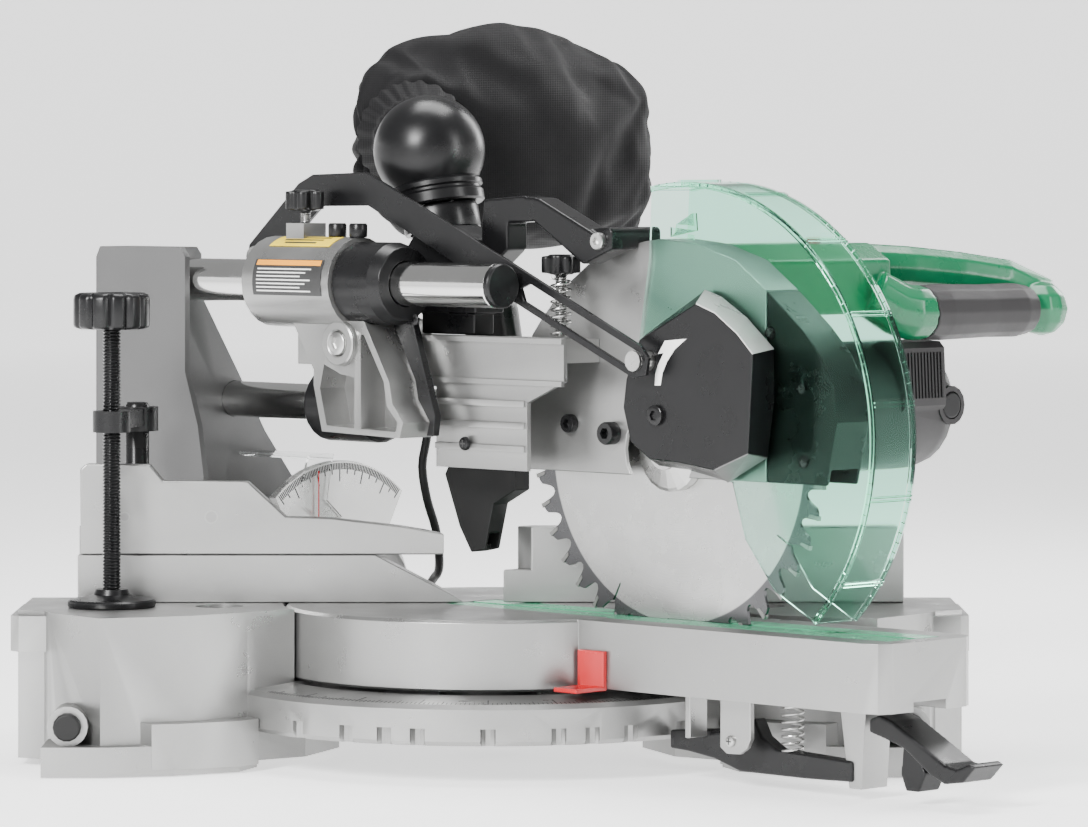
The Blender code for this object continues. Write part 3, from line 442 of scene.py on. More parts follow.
def cross_screw(name, centre, direction, r, body, mat="zinc"):
    """A pan-head screw with a cross recess."""
    bm = lathe_bm([(0, 0), (r, 0), (r, r * 0.25), (r * 0.86, r * 0.5), (r * 0.5, r * 0.64), (0, r * 0.66)],
                  centre, direction, 32)
    head = make_piece(name, bm, body, mat)
    place = frame_at(centre, direction)
    bm = bmesh.new()
    for turn in (0, 90):
        spin = Matrix.Rotation(math.radians(turn), 4, "Z")
        corners = []
        for x, y in ((-0.55, -0.11), (0.55, -0.11), (0.55, 0.11), (-0.55, 0.11)):
            corners.append((place @ spin @ (Vector((x * r, y * r, r * 0.4)) * MM),
                            place @ spin @ (Vector((x * r, y * r, r * 0.69)) * MM)))
        prism_bm(corners, bm)
    make_piece(f"{name}_recess", bm, body, "print", smooth=False)
    return head


def threaded(name, centre, direction, r, low, high, pitch, depth, body, mat, n=24, per=6):
    """A rod with a real helical thread."""
    place = frame_at(centre, direction)
    steps = max(4, int((high - low) / pitch * per))
    bm = bmesh.new()
    rings = []
    for i in range(steps + 1):
        h = low + (high - low) * i / steps

        def groove(a, turned=math.tau * h / pitch):
            return r - depth * (0.5 - 0.5 * math.cos(turned - a))

        rings.append(ring_of(bm, place, h, n, groove))
    capped(bm, rings)
    return make_piece(name, bm, body, mat)


def tube_bm(points, radius, n=12):
    """A round tube through world points."""
    bm = bmesh.new()
    rings = []
    side = Vector((0.3, 0.5, 0.8)).normalized()
    for i, here in enumerate(points):
        ahead = (points[min(i + 1, len(points) - 1)] - points[max(i - 1, 0)]).normalized()
        side = (side - ahead * side.dot(ahead)).normalized()
        other = ahead.cross(side)
        rings.append([
            bm.verts.new(here + (side * math.cos(a) + other * math.sin(a)) * radius * MM) for a in turns(n)
        ])
    capped(bm, rings)
    return bm


def spring(name, centre, direction, r, wire, low, high, coils, body):
    """A coil spring of round wire along direction."""
    place = frame_at(centre, direction)
    count = int(coils * 16)
    points = []
    for i in range(count + 1):
        a = 2 * math.pi * coils * i / count
        h = low + (high - low) * i / count
        points.append(place @ (Vector((r * math.cos(a), r * math.sin(a), h)) * MM))
    return make_piece(name, tube_bm(points, wire, 8), body, "zinc")


def smooth_curve(points, steps):
    """Points on a Catmull-Rom curve through the given ones."""
    p = [Vector(q) for q in points]
    p = [2 * p[0] - p[1]] + p + [2 * p[-1] - p[-2]]
    out = []
    for i in range(1, len(p) - 2):
        a, b, c, d = p[i - 1 : i + 3]
        for k in range(steps):
            t = k / steps
            out.append(0.5 * (2 * b + (c - a) * t + (2 * a - 5 * b + 4 * c - d) * t**2
                              + (3 * b - a - 3 * c + d) * t**3))
    out.append(p[-2])
    return out


# The power cord: its thickness, its route in the arm's frame, and where the coil's turns lie (radius, height)

CORD_D = 6.0
COIL_MID_R = 33.0
COIL_AT = (60.0, -335.0)
CORD_ROUTE = [
    (28, -88, 234.7), (28, -88, 220), (27, -89.5, 203), (25.5, -92, 185), (29, -91, 163), (37, -91, 143),
    (47, -98, 124), (57, -109, 112), (65, -123, 105), (70, -138, 92), (73, -153, 73), (76, -167, 52),
    (79, -181, 31), (83, -197, 13), (88, -216, 4.5), (92, -238, 3.3), (93, -262, 3.3), (93, -284, 3.3),
    (93, -304.8, 3.3),
]
TURN_PLACES = [
    (5.6, 3.4), (-0.2, 3.4), (-6.0, 3.4), (-6.0, 9.2), (-0.2, 9.2), (5.8, 9.2), (5.8, 15.0), (0, 15.0),
    (-6.0, 15.0),
]


def coil_points():
    """The unseen length wound side by side, stepping to the next place once each turn."""
    points = []
    total = len(TURN_PLACES)
    for turn, (dr, z) in enumerate(TURN_PLACES):
        after = TURN_PLACES[min(turn + 1, total - 1)]
        for k in range(30):
            t = max(0.0, (k / 30 - 0.75) / 0.25)
            t = t * t * (3 - 2 * t)
            r = COIL_MID_R + dr + (after[0] - dr) * t
            a = 2 * math.pi * k / 30
            u, v = COIL_AT[0] + r * math.cos(a), COIL_AT[1] - r * math.sin(a)
            points.append((u, v, z + (after[1] - z) * t))
    return points


def add_cord():
    route = [Vector(p) for p in CORD_ROUTE[:-2]] + [Vector((96, -308, 3.4)), Vector((98.2, -322, 3.4))]
    path = smooth_curve([tuple(p) for p in route], 3) + [Vector(p) for p in coil_points()]
    curve = bpy.data.curves.new("power_cord", "CURVE")
    curve.dimensions = "3D"
    curve.bevel_depth = CORD_D / 2 * MM
    curve.bevel_resolution = 4
    curve.use_fill_caps = True
    spline = curve.splines.new("POLY")
    spline.points.add(len(path) - 1)
    world = [arm(*p) for p in path]
    for point, place in zip(spline.points, world):
        point.co = (*place, 1)
    curve.materials.append(MATS["rubber"])
    obj = bpy.data.objects.new("power_cord", curve)
    bpy.context.collection.objects.link(obj)
    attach(obj, "turntable")
    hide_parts("cord", "cord_coil")
    plug = refined("cord_plug", "rubber", 1.2)
    add_relief()


def add_relief():
    """The ribbed rubber boot the cord leaves through."""
    profile = [(0, 0), (3.5, 0)]
    for i in range(7):
        h = 1.5 + i * 3.4
        r = 3.7 + i * 0.55
        profile += [(r, h), (r, h + 2.1), (r - 0.7, h + 2.3), (r - 0.7, h + 3.2)]
    profile += [(8, 25.5), (8, 27), (0, 27)]
    boot = lathe_bm(profile, arm(28, -88, 235), UP, 32)
    obj = make_piece("cord_boot", boot, "carriage", "rubber")
    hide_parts("cord_relief")


# Castings and mouldings that keep their CAD shape


def dress_nodes():
    for name, width in (
        ("base_casting", 1.4), ("fence_left", 0.8), ("fence_right", 0.8), ("sub_fence", 1.2),
        ("turntable", 0.9), ("carriage", 1.2), ("head_arm", 0.8), ("upper_guard", 1.2),
    ):
        refined(name, "casting", width)
    refined("holder", "dark_casting", 1.6)
    refined("gear_housing", "dark_casting", 1.5)
    for name, width in (
        ("vise_arm", 1.0), ("rail_cap", 0.6), ("bevel_clamp", 1.2), ("rail_seal", 0.8),
        ("guard_nose", 1.2), ("guard_link", 0.5), ("brush_cap", 0.5),
        ("lower_slide_cover", 0.8), ("arm_cover", 2.0), ("trigger", 1.0),
    ):
        refined(name, "black", width)
    for name in ("miter_lever", "carry_handle", "slide_lock_knob", "depth_stop"):
        moulded(name, "black", 0.9, 5, 0.5)
    shrunk(moulded("sub_fence_knob", "black", 0.9, 5, 0.5), 0.95)
    moulded("dust_duct", "black", 1.3, 5, 0.5)
    moulded("handle_frame", "green", 1.1, 5, 0.4)
    moulded("handle_grip", "dark", 0.9, 4, 0.5)
    refined("motor_housing", "dark", 1.5)
    for name in ("dust_chute", "socket_plug_left", "socket_plug_right"):
        refined(name, "rubber", 0.8)
    for name in ("kerf_board_left", "kerf_board_right"):
        refined(name, "insert", 0.4)
    refined("miter_pointer", "red", 0.5)
    shrunk(refined("lock_off_button", "red", 0.5), 0.8)
    refined("bevel_pointer", "clear", 0.4)
    refined("bevel_scale", "machined", 0.4)
    refined("lower_guard", "guard", 0.5)
    for name in ("hinge_pin", "link_bolt", "link_pin", "blade_flange", "spindle", "motor_field"):
        painted(name, "zinc")
    painted("armature", "copper")


def add_rails():
    for node_name, (u, z), r, v1 in (
        ("upper_rail", UPPER_RAIL, 14.3, 88.5), ("lower_rail", LOWER_RAIL, 12.2, 30.0),
    ):
        profile = [(0, -268), (r - 1, -268), (r, -267), (r, v1 - 1), (r - 1, v1), (0, v1)]
        obj = make_piece(f"{node_name}_ground", lathe_bm(profile, arm(u, 0, z), ALONG_V, 72), "tilt_holder",
                         "steel")
        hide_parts(node_name)


def add_vise():
    """The round post, the threaded spindle with its foot, and the fluted knob of twelve hollows."""
    x, v = -235.0, -29.0
    post = lathe_bm([(0, 60), (8, 60), (8, 229), (6.5, 231), (0, 231)], base(x, -v, 0), UP, 40)
    obj = make_piece("vise_post_round", post, "vise", "black_metal")
    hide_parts("vise_post")
    centre = base(-247, -31, 0)
    rod = threaded("vise_thread", centre, UP, 6, 112, 280.8, 2.2, 1.0, "vise_spindle", "black_metal")
    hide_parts("vise_screw")
    foot = [(0, 100.3), (28, 100.3), (28.7, 101.2), (28.7, 104), (27.5, 105.2), (20, 106), (12, 108.2),
            (10.5, 111.7), (0, 111.7)]
    foot = lathe_bm(foot, centre, UP, 64)
    obj = make_piece("vise_foot_round", foot, "vise_spindle", "black")
    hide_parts("vise_foot")

    def fluted(r, depth):
        return lambda a: r - depth * max(0.0, math.cos(12 * a)) ** 2

    bm = bmesh.new()
    place = Matrix.Translation(centre)
    flute = 2.4
    rings = []
    for r, h, depth in (
        (0, 281.3, 0), (21, 281.3, 0), (24.2, 282.5, flute), (25, 284, flute), (25, 301, flute),
        (24.2, 303.6, flute), (21, 305, 0), (9, 305, 0), (8, 303.6, 0), (0, 303.6, 0),
    ):
        rings.append(ring_of(bm, place, h, 120 if r else 1, fluted(r, depth)))
    skin(bm, rings)
    obj = make_piece("vise_knob_fluted", bm, "vise_spindle", "black", angle=50)
    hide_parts("vise_knob")


def add_blade():
    """Forty hooked teeth with carbide tips, curved gullets and four expansion slots."""
    teeth = 40
    outline = []
    tips = bmesh.new()
    for i in range(teeth):
        start = 2 * math.pi * i / teeth
        shape = [(0.0, 126.4), (0.012, 118.5), (0.022, 115.2), (0.040, 113.4), (0.060, 113.8), (0.076, 116.0),
                 (0.088, 119.5), (0.100, 123.6), (0.120, 125.2), (0.150, 126.2)]
        if i % 10 == 3:
            shape[3:5] = [(0.036, 113.5), (0.041, 101.0), (0.047, 99.4), (0.053, 101.0), (0.050, 113.5)]
        for a, r in shape:
            angle = -(start + a)
            outline.append((ARBOR[0] + r * math.cos(angle), ARBOR[1] + r * math.sin(angle)))
        corners = [(-0.0005, 127.4), (0.003, 119.2), (-0.013, 120.0), (-0.022, 126.9)]
        tip = []
        for a, r in corners:
            angle = -(start + a)
            tip.append((ARBOR[0] + r * math.cos(angle), ARBOR[1] + r * math.sin(angle)))
        plate_u(tip, -1.6, 1.6, tips)
    disc = make_piece("blade_plate", plate_u(outline, -1.1, 1.1), "blade", "blade", smooth=False)
    make_piece("blade_tips", tips, "blade", "carbide", smooth=False)
    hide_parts("blade")


def add_elbow():
    """The swivelling ball with its collar, the lip of the duct below it and the mouth that holds the bag."""
    centre = (NECK[0] - 1, NECK[1] - 9, NECK[2] + 38)
    lean = math.radians(12)
    rise = UP * math.cos(lean) - ALONG_V * math.sin(lean)
    profile = [(0, -36.5)]
    for i in range(1, 40):
        a = -math.pi / 2 + math.pi * i / 40
        profile.append((37 * math.cos(a), 37 * math.sin(a)))
    profile.append((0, 36.9))
    shell = lathe_bm(profile, arm(*centre), UP, 64)
    ball = make_piece("elbow_ball", shell, "dust_elbow", "black", angle=80)
    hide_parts("dust_elbow")
    collar = [(23, 0.8), (29, 0.8), (30.5, 2), (30.5, 8), (29, 9.5), (29, 11), (30.5, 12.2), (30.5, 15),
              (28, 18), (24, 20)]
    make_piece("elbow_collar", lathe_bm(collar, arm(*NECK), rise, 64), "dust_elbow", "black")
    lip = [(22, -16), (25, -16), (25.5, -14), (25.5, -2), (24.5, 0), (22, 0)]
    make_piece("duct_lip", lathe_bm(lip, arm(*NECK), rise, 56), "head", "black")
    start = Vector((centre[0] + 12, centre[1] - 16, centre[2] + 2))
    stop = Vector((centre[0] + 42, centre[1] - 57, centre[2] + 8))
    tube = tube_bm([arm(*start), arm(*start.lerp(stop, 0.5)), arm(*stop)], 27, 48)
    make_piece("elbow_mouth", tube, "dust_elbow", "black")


# The dust bag: its middle plane, how far the simulation may move it and for how many frames, how deep its
# folds are, and its sections (u, z, half its height, half its depth)

BAG_V = -134.0
BAG_CAP = 9.0
BAG_FRAMES = 20
BAG_FOLDS = 2.6
MOUTH_PLEATS = 3.2
END_PLEATS = 1.8
BAG_SECTIONS = [
    (15, 405, 14, 7), (17, 405, 27, 13), (22, 406, 37, 20), (30, 409, 47, 29), (42, 411, 56, 36),
    (68, 409, 67, 41), (100, 409, 76, 43), (135, 409, 79, 44), (168, 407, 77, 44), (200, 406, 74, 43),
    (232, 403, 70, 40), (252, 400, 64, 35), (265, 396, 54, 25), (270, 393, 38, 13), (272, 393, 14, 6),
]


def bag_mesh(rows=64, around=72):
    """The filled bag as sewn: rounded box sections lofted from the elbow's side to the far end."""
    last = len(BAG_SECTIONS) - 1
    squareness = 0.78
    bm = bmesh.new()
    rings = []
    for i in range(rows + 1):
        place = last * i / rows
        k = min(int(place), last - 1)
        t = place - k
        u, z, high, deep = [a + (b - a) * t for a, b in zip(BAG_SECTIONS[k], BAG_SECTIONS[k + 1])]
        ring = []
        for a in turns(around):
            c, s = math.cos(a), math.sin(a)
            dv = deep * math.copysign(abs(c) ** squareness, c)
            dz = high * math.copysign(abs(s) ** squareness, s)
            ring.append(bm.verts.new(arm(u, BAG_V + dv, z + dz)))
        rings.append(ring)
    capped(bm, rings)
    return bm


def creased(bm):
    """Long soft folds, pleats that run from the gathered mouth, and short ones at the far end."""
    bm.normal_update()
    moves = []
    for vert in bm.verts:
        here = (vert.co - PIVOT) / MM
        u = C45 * (here.x + here.y)
        p = Vector((u * 0.022, here.z * 0.055, here.y * 0.02))
        folds = noise.noise(p + Vector((3.1, 0, 0))) * BAG_FOLDS
        near = max(0.0, 1 - max(0.0, u - 20) / 110)
        angle = math.atan2(here.z - 400, C45 * (here.x - here.y) - BAG_V)
        folds += near * MOUTH_PLEATS * math.sin(9 * angle + u * 0.05)
        ends = max(0.0, 1 - (272 - u) / 45)
        folds += ends * END_PLEATS * math.sin(11 * angle + 1.0)
        moves.append((vert, vert.normal * folds * MM))
    for vert, move in moves:
        vert.co += move
    return bm


def simulate(obj):
    """Pressure on cloth a touch too large settles the folds, and the result is kept within a cap."""
    sewn = [vert.co.copy() for vert in obj.data.vertices]
    pins = obj.vertex_groups.new(name="held")
    for vert in obj.data.vertices:
        here = (obj.matrix_world @ vert.co - PIVOT) / MM
        u = C45 * (here.x + here.y)
        if u < 26 or u > 267 or here.z < 336:
            pins.add([vert.index], 1.0, "REPLACE")
    cloth = obj.modifiers.new("cloth", "CLOTH")
    settings = cloth.settings
    settings.quality = 6
    settings.mass = 0.25
    settings.tension_stiffness = 25
    settings.compression_stiffness = 12
    settings.shear_stiffness = 8
    settings.bending_stiffness = 0.6
    settings.vertex_group_mass = "held"
    settings.shrink_min = -0.035
    settings.effector_weights.gravity = 0.12
    settings.use_pressure = True
    settings.uniform_pressure_force = 3.0
    settings.time_scale = 0.6
    cloth.point_cache.frame_start = 1
    cloth.point_cache.frame_end = BAG_FRAMES
    scene = bpy.context.scene
    for i in range(1, BAG_FRAMES + 1):
        scene.frame_set(i)
    done = obj.evaluated_get(bpy.context.evaluated_depsgraph_get())
    kept = bpy.data.meshes.new_from_object(done)
    obj.modifiers.clear()
    old = obj.data
    obj.data = kept
    bpy.data.meshes.remove(old)
    for vert, before in zip(kept.vertices, sewn):
        move = vert.co - before
        if move.length > BAG_CAP * MM:
            vert.co = before + move * (BAG_CAP * MM / move.length)
    scene.frame_set(1)


def add_bag():
    obj = make_piece("dust_bag_sewn", creased(bag_mesh()), "dust_elbow", "bag", angle=80)
    simulate(obj)
    ease = obj.modifiers.new("ease", "SMOOTH")
    ease.iterations = 2
    ease.factor = 0.4
    finer = obj.modifiers.new("finer", "SUBSURF")
    finer.levels = finer.render_levels = 1
    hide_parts("dust_bag")
    add_bag_cuff()


def add_bag_cuff():
    """The elastic cuff gathers the cloth in pleats round the elbow's mouth."""
    start = Vector((10.0, -77.0, 402.5))
    stop = Vector((31.0, -106.0, 407.0))
    along = (arm(*stop) - arm(*start)).normalized()
    side = along.cross(UP).normalized()
    other = along.cross(side)
    bm = bmesh.new()
    rings = []
    for t, r, wave in (
        (0.0, 28.2, 0.1), (0.04, 30.5, 0.5), (0.25, 31.5, 0.7), (0.45, 29.8, 0.5), (0.6, 31.2, 0.8),
        (0.85, 35.0, 1.2), (1.1, 38.0, 1.0), (1.12, 28.0, 0.1),
    ):
        centre = arm(*start.lerp(stop, t))
        ring = []
        for a in turns(144):
            radius = r + wave * math.sin(23 * a + 1.6 * math.sin(3 * a) + 2 * t)
            ring.append(bm.verts.new(centre + (side * math.cos(a) + other * math.sin(a)) * radius * MM))
        rings.append(ring)
    skin(bm, [*rings, rings[0]])
    make_piece("bag_cuff", bm, "dust_elbow", "bag", angle=80)


# Fasteners, labels and scales


def add_fasteners():
    """Screws, springs, adjusters and rings that dress the castings."""
    left = -ALONG_U
    hex_socket_screw("guard_roller", arm(-17.2, 129, 217), left, 7.4, "head", "black_metal", height=8)
    hex_socket_screw("guard_screw", arm(-17.2, 92, 222), left, 6, "head", "black_metal", height=5)
    hex_socket_screw("cover_screw", arm(-50.2, 198.9, 231.7), left, 6.5, "head", "black_metal", height=2.6)
    cross_screw("arm_screw", arm(-52.2, 30, 208), left, 4.5, "head", "black_metal")
    for i, (v, z) in enumerate(((266, 284), (292, 250), (294, 205))):
        cross_screw(f"nose_screw_{i}", arm(-17.2, v, z), left, 4, "head", "black_metal")
    hex_socket_screw("carry_bolt", arm(-42.2, 142, 340), left, 5.5, "head", "zinc", height=4)
    pivot = arm(-95.2, *HINGE)
    hex_socket_screw("pivot_circlip", pivot, left, 7.6, "carriage", "zinc", height=3.2)
    ring = [(8.4, 0), (14.6, 0), (14.6, 1.2), (13.6, 2), (9.4, 2), (8.4, 1.2)]
    ring = lathe_bm(ring, arm(-95.1, *HINGE), left, 48)
    make_piece("pivot_ring", ring, "carriage", "casting")
    for i, v in enumerate((-62, -42)):
        profile = [(0, 0), (5.6, 0), (6, 0.8), (6, 8), (5.2, 9.2), (0, 9.2)]
        knob = lathe_bm(profile, arm(UPPER_RAIL[0], v, 341), UP, 32)
        make_piece(f"bearing_adjuster_{i}", knob, "carriage", "black")
    hex_socket_screw("skirt_screw", arm(-72.2, 4, 288), left, 3.6, "carriage", "black_metal", height=1.6)
    threaded("lock_stud", arm(-80, -93, 350.5), UP, 3.6, 0, 8, 1.4, 0.6, "slide_lock", "zinc")
    spring("depth_spring", arm(-33, 98, 280), UP, 6.2, 0.8, 0, 36, 7, "head")
    threaded("depth_thread", arm(-33, 98, 278), UP, 3.8, 0.5, 40, 1.5, 0.6, "depth_stop", "zinc")
    add_lock_rod()
    for i, (x, r) in enumerate(((-184, 4.4), (-241, 3.4))):
        cup = [(0, 0), (r, 0), (r, 0.5), (r - 0.9, 0.5), (r - 0.9, 0.2), (0, 0.2)]
        mark = lathe_bm(cup, base(x, 0, 156.6), (0, -1, 0), 28)
        make_piece(f"fence_mark_{i}", mark, "sub_fence", "casting")


def add_lock_rod():
    """The mitre lock's bar under the arm, with its spring, and the cast bracket and rib that carry it."""
    under = 56.6
    bar = [(176, 30.9), (210.9, 33.8), (223.6, 32.4), (248.7, 43.5), (254.9, 32.5), (267.4, 25.5),
           (330, 22.8), (330, 10.2), (292, 9.2), (236.2, 9.2), (214.1, 15.5), (191.8, 18.4), (176, 19.2)]
    bevelled(make_piece("lock_bar", plate_u(bar, -14, -3), "turntable", "black"), 1.5)
    bracket = [(235.3, under), (235.3, 25.8), (240.9, 22.1), (251.9, 22.5), (258.1, 26.5), (261.2, 32.4),
               (261.2, under)]
    bracket = make_piece("lock_bracket", plate_u(bracket, -31, -27), "turntable", "casting")
    bevelled(bracket, 0.8)
    rib = [(207.2, under), (207.2, 29.4), (211.9, 29.8), (211.9, under)]
    bevelled(make_piece("arm_rib", plate_u(rib, -33, -17), "turntable", "casting"), 0.8)
    cross_screw("bracket_screw", arm(-31.1, 245, 30.2), -ALONG_U, 3.6, "turntable")
    spring("lever_spring", arm(-9, 276.9, 25), UP, 6.5, 0.8, 0, 31, 7, "turntable")


def curved_label(name, u, z, r, v0, v1, a0, a1, mat, body, lift=0.25):
    """A thin label wrapped on a round housing whose axis runs along v."""
    bm = bmesh.new()
    n = 20
    layers = []
    for radius in (r + 0.02, r + lift):
        rows = []
        for i in range(n + 1):
            a = math.radians(a0 + (a1 - a0) * i / n)
            point = (u + radius * math.cos(a), z + radius * math.sin(a))
            rows.append([bm.verts.new(arm(point[0], v, point[1])) for v in (v0, v1)])
        layers.append(rows)
    low, high = layers
    for i in range(n):
        bm.faces.new((low[i][0], low[i][1], low[i + 1][1], low[i + 1][0]))
        bm.faces.new((high[i][0], high[i][1], high[i + 1][1], high[i + 1][0]))
        for side in (0, 1):
            bm.faces.new((low[i][side], low[i + 1][side], high[i + 1][side], high[i][side]))
    for i in (0, n):
        bm.faces.new((low[i][0], low[i][1], high[i][1], high[i][0]))
    return make_piece(name, bm, body, mat, angle=60)


def add_labels():
    """Blank labels with bars for print on the sleeve, and the plain arrow on the spindle cover."""
    u, z = UPPER_RAIL
    sleeve = 30
    over = sleeve + 0.3
    curved_label("sleeve_label_yellow", u, z, sleeve, -108, -50, 100, 128, "yellow", "carriage")
    for i in range(3):
        a = 105 + 7 * i
        curved_label(f"sleeve_bar_{i}", u, z, over, -102 + 3 * i, -58 - 4 * i, a, a + 3, "print",
                     "carriage", 0.12)
    curved_label("sleeve_label_black", u, z, sleeve, -112, -46, 150, 196, "print",
                 "carriage")
    curved_label("sleeve_label_head", u, z, over, -110, -48, 151, 158, "orange", "carriage", 0.12)
    for i in range(7):
        a = 162 + 4.6 * i
        curved_label(f"sleeve_line_{i}", u, z, over, -108, -56 - 5 * (i % 3), a, a + 1.6, "white",
                     "carriage", 0.1)
    arrow = [(197.8, 250.4), (202.7, 250.6), (204.4, 258.5), (208.2, 265.5), (214.6, 273.1), (224.9, 280.2)]
    arrow += [(206.5, 278.6), (200.6, 270.2), (205.4, 270.9), (200.6, 263.3), (198.2, 257.3)]
    make_piece("turn_arrow", plate_u(arrow, -50.35, -50.05), "head", "white", smooth=False)


# The spindle cover's front and back outlines, corner for corner: v, z

COVER_FRONT = [
    (184.1, 278.5), (232.8, 302.2), (248.9, 296.7), (267.5, 284.4), (280.6, 272.1), (278.8, 243.8),
    (276.7, 210.6), (248.5, 199.6), (216.1, 203.3), (192.8, 204.2), (176.2, 214.9), (170.1, 236.0),
    (172.7, 253.7),
]
COVER_BACK = [
    (161.6, 280.5), (213.8, 309.8), (228.3, 305.4), (249.6, 293.0), (272.5, 274.2), (273.2, 242.8),
    (267.3, 207.3), (233.5, 190.3), (200.8, 196.5), (174.7, 198.0), (157.2, 208.7), (150.1, 229.4),
    (151.9, 251.7),
]


def add_cover():
    """The tapering cover with its bright upper wall and grey chin."""
    bm = prism_bm([(arm(-50.0, *p), arm(-21.5, *q)) for p, q in zip(COVER_FRONT, COVER_BACK)])
    cover = make_piece("spindle_cover_shell", bm, "head", "black")
    bevelled(cover, 1.0, 3)
    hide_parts("spindle_cover")
    for name, first, last, mat in (("cover_stripe", 1, 4, "bright"), ("cover_chin", 6, 7, "dark_casting")):
        bm = bmesh.new()
        for k in range(first, last):
            corners = []
            for u, v, z in ((-49.8, *COVER_FRONT[k]), (-49.8, *COVER_FRONT[k + 1]),
                            (-21.8, *COVER_BACK[k + 1]), (-21.8, *COVER_BACK[k])):
                away = Vector((v - 228, z - 245)).normalized() * 0.45
                corners.append((arm(u, v - away.x, z - away.y), arm(u, v + away.x, z + away.y)))
            prism_bm(corners, bm)
        make_piece(name, bm, "head", mat, smooth=False)


def add_scales():
    """Degree marks on the sloping ring and on the bevel plate."""
    ticks = bmesh.new()
    for degree in range(-58, 59):
        a = math.radians(degree)
        long = degree % 15 == 0
        inner = 155 if long else (160 if degree % 5 == 0 else 163.5)
        width = 0.45 if long else 0.28
        across = Vector((math.cos(a), math.sin(a), 0)) * width
        corners = []
        for r, side in ((inner, -1), (168.0, -1), (168.0, 1), (inner, 1)):
            z = 53 - 3 * (r - 138) / 31
            p = Vector((r * math.sin(a), -r * math.cos(a), z)) + across * side
            corners.append((base(p.x, p.y, p.z - 0.1), base(p.x, p.y, p.z + 0.14)))
        prism_bm(corners, ticks)
    make_piece("miter_scale_marks", ticks, "base", "print", smooth=False)
    ticks = bmesh.new()
    for degree in range(-40, 41, 1):
        a = math.radians(degree)
        inner = 74 if degree % 15 == 0 else (79 if degree % 5 == 0 else 82)
        across = (math.cos(a) * 0.3, -math.sin(a) * 0.3)
        corners = []
        for r, side in ((inner, -1), (86.5, -1), (86.5, 1), (inner, 1)):
            u, z = r * math.sin(a) + side * across[0], 100 + r * math.cos(a) + side * across[1]
            corners.append((arm(u, -146.4, z), arm(u, -146.05, z)))
        prism_bm(corners, ticks)
    make_piece("bevel_scale_marks", ticks, "turntable", "print", smooth=False)
    line = [(-22.5, 150), (-21.7, 150), (-21.7, 182), (-22.5, 182)]
    red = prism_bm([(arm(u, -143.3, z), arm(u, -143.0, z)) for u, z in line])
    make_piece("bevel_red_line", red, "tilt_holder", "red", smooth=False)


def add_vents():
    """Eleven upright ribs across the motor's vent box."""
    slits = bmesh.new()
    for i in range(11):
        u = 182.5 + i * 3.2
        outline = ((204.4, 235), (206.6, 235), (205.2, 265), (203.2, 265))
        prism_bm([(arm(u, v, z), arm(u + 1.5, v, z)) for v, z in outline], slits)
    make_piece("motor_vent_ribs", slits, "head", "black", smooth=False)


def add_guard_detail():
    """Strengthening ribs across the clear guard's rim, its two raised edges and a mark on its side."""
    outside = 158.2

    def on_rim(r, a):
        return GUARD_RIM[0] + r * math.cos(a), GUARD_RIM[1] + r * math.sin(a)

    ribs = bmesh.new()
    for i in range(7):
        for turn in (-0.008, 0.008):
            b = math.radians(-34 + 21 * i) + turn
            corners = []
            for r, off in ((outside, 0), (outside + 1.4, 0), (outside + 1.4, 0.006), (outside, 0.006)):
                v, z = on_rim(r, b + off)
                corners.append((arm(-20, v, z), arm(16.5, v, z)))
            prism_bm(corners, ribs)
    make_piece("guard_rim_ribs", ribs, "lower_guard", "guard", smooth=False)
    edge = bmesh.new()
    for u0 in (-21.4, 15.9):
        angles = [math.radians(-46 + 147 * k / 60) for k in range(61)]
        outer = [on_rim(158.3, a) for a in angles]
        inner = [on_rim(154.6, a) for a in angles]
        for k in range(60):
            quad = [outer[k], outer[k + 1], inner[k + 1], inner[k]]
            plate_u(quad, u0, u0 + 1.8, edge)
    bmesh.ops.remove_doubles(edge, verts=edge.verts, dist=1e-6)
    make_piece("guard_rim_edge", edge, "lower_guard", "guard", smooth=False)
    mark = [(184, 343), (204, 341), (204, 344), (188, 346), (189, 351), (204, 350), (203, 358), (206, 358),
            (207, 347), (184, 349)]
    make_piece("guard_mark", plate_u(mark, -21.6, -20.6), "lower_guard", "guard", smooth=False)


# Studio

FLOOR_Z = -0.0006


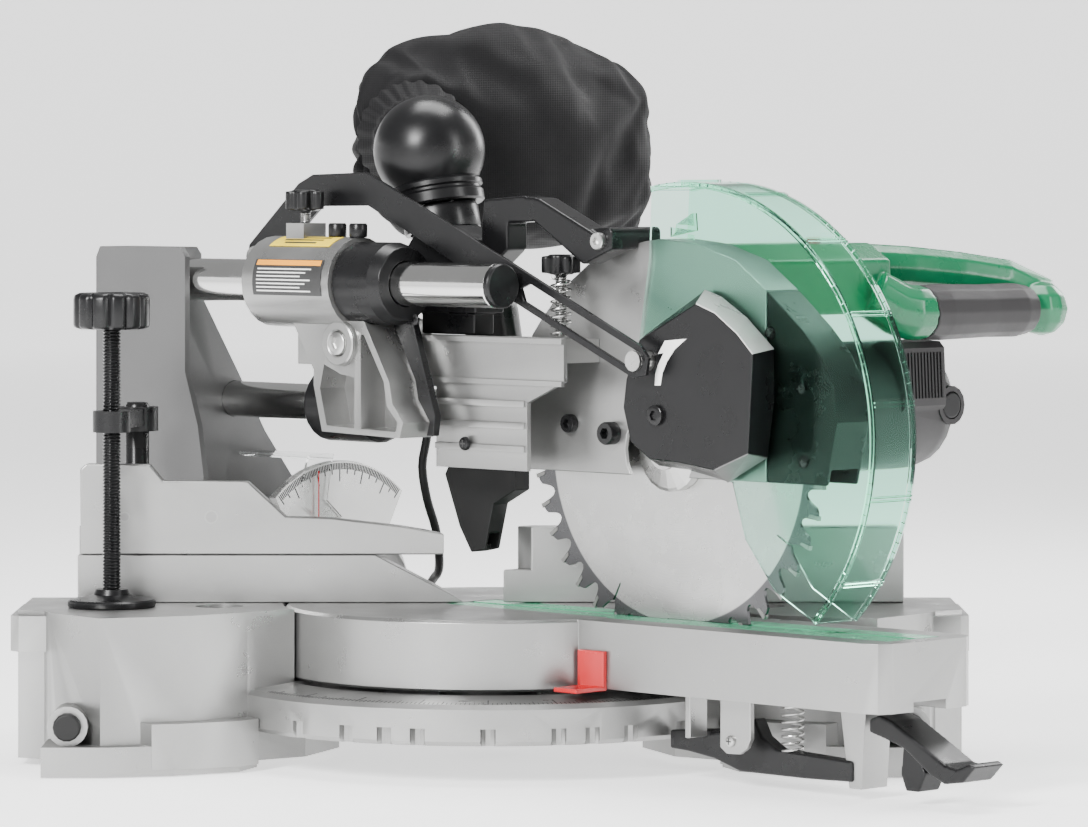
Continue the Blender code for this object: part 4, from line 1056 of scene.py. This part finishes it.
def add_stage():
    """A round pale floor that curves up far behind every camera, four soft lamps and a faint sky."""
    floor = bmesh.new()
    sides = 96
    middle = floor.verts.new((0, 0, FLOOR_Z))
    rings = []
    for radius, rise in ((8.0, 0), (8.6, 0.1), (9.0, 0.4), (9.1, 1.8)):
        z = FLOOR_Z + rise
        rings.append([floor.verts.new((radius * math.cos(a), radius * math.sin(a), z)) for a in turns(sides)])
    for k in range(sides):
        after = (k + 1) % sides
        floor.faces.new((middle, rings[0][k], rings[0][after]))
        for one, two in zip(rings, rings[1:]):
            floor.faces.new((one[k], two[k], two[after], one[after]))
    mesh = bpy.data.meshes.new("studio_floor")
    floor.to_mesh(mesh)
    floor.free()
    mesh.shade_smooth()
    paper = surface("studio_paper", (0.93, 0.93, 0.93), 0.55, grain=400, bump=0.02, mottle=0.01)
    paper.node_tree.nodes["Principled BSDF"].inputs["Emission Color"].default_value = (1, 1, 1, 1)
    paper.node_tree.nodes["Principled BSDF"].inputs["Emission Strength"].default_value = 1.1
    mesh.materials.append(paper)
    obj = bpy.data.objects.new("studio_floor", mesh)
    bpy.context.collection.objects.link(obj)
    world = bpy.data.worlds.new("studio")
    bpy.context.scene.world = world
    world.use_nodes = True
    world.node_tree.nodes["Background"].inputs[0].default_value = (1, 1, 1, 1)
    world.node_tree.nodes["Background"].inputs[1].default_value = 0.4
    for name, place, aim, power, width, height in (
        ("key", (-1.3, -2.0, 1.5), (0, 0, 0.2), 130, 0.6, 0.9),
        ("fill", (2.0, -1.2, 0.9), (0, 0, 0.2), 26, 0.25, 1.6),
        ("top", (0.1, 0.4, 2.2), (0, 0, 0), 60, 1.5, 1.0),
        ("rim", (1.4, 1.5, 1.2), (0, 0, 0.3), 30, 0.5, 1.4),
    ):
        light = bpy.data.lights.new(name, "AREA")
        light.shape = "RECTANGLE"
        light.energy = power
        light.size, light.size_y = width, height
        lamp = bpy.data.objects.new(name, light)
        bpy.context.collection.objects.link(lamp)
        lamp.location = place
        lamp.rotation_euler = (Vector(place) - Vector(aim)).to_track_quat("Z", "Y").to_euler()


MATS = make_materials()
add_camera()
add_cord()
dress_nodes()
add_rails()
add_vise()
add_blade()
add_elbow()
add_bag()
add_fasteners()
add_labels()
add_cover()
add_scales()
add_vents()
add_guard_detail()
add_stage()
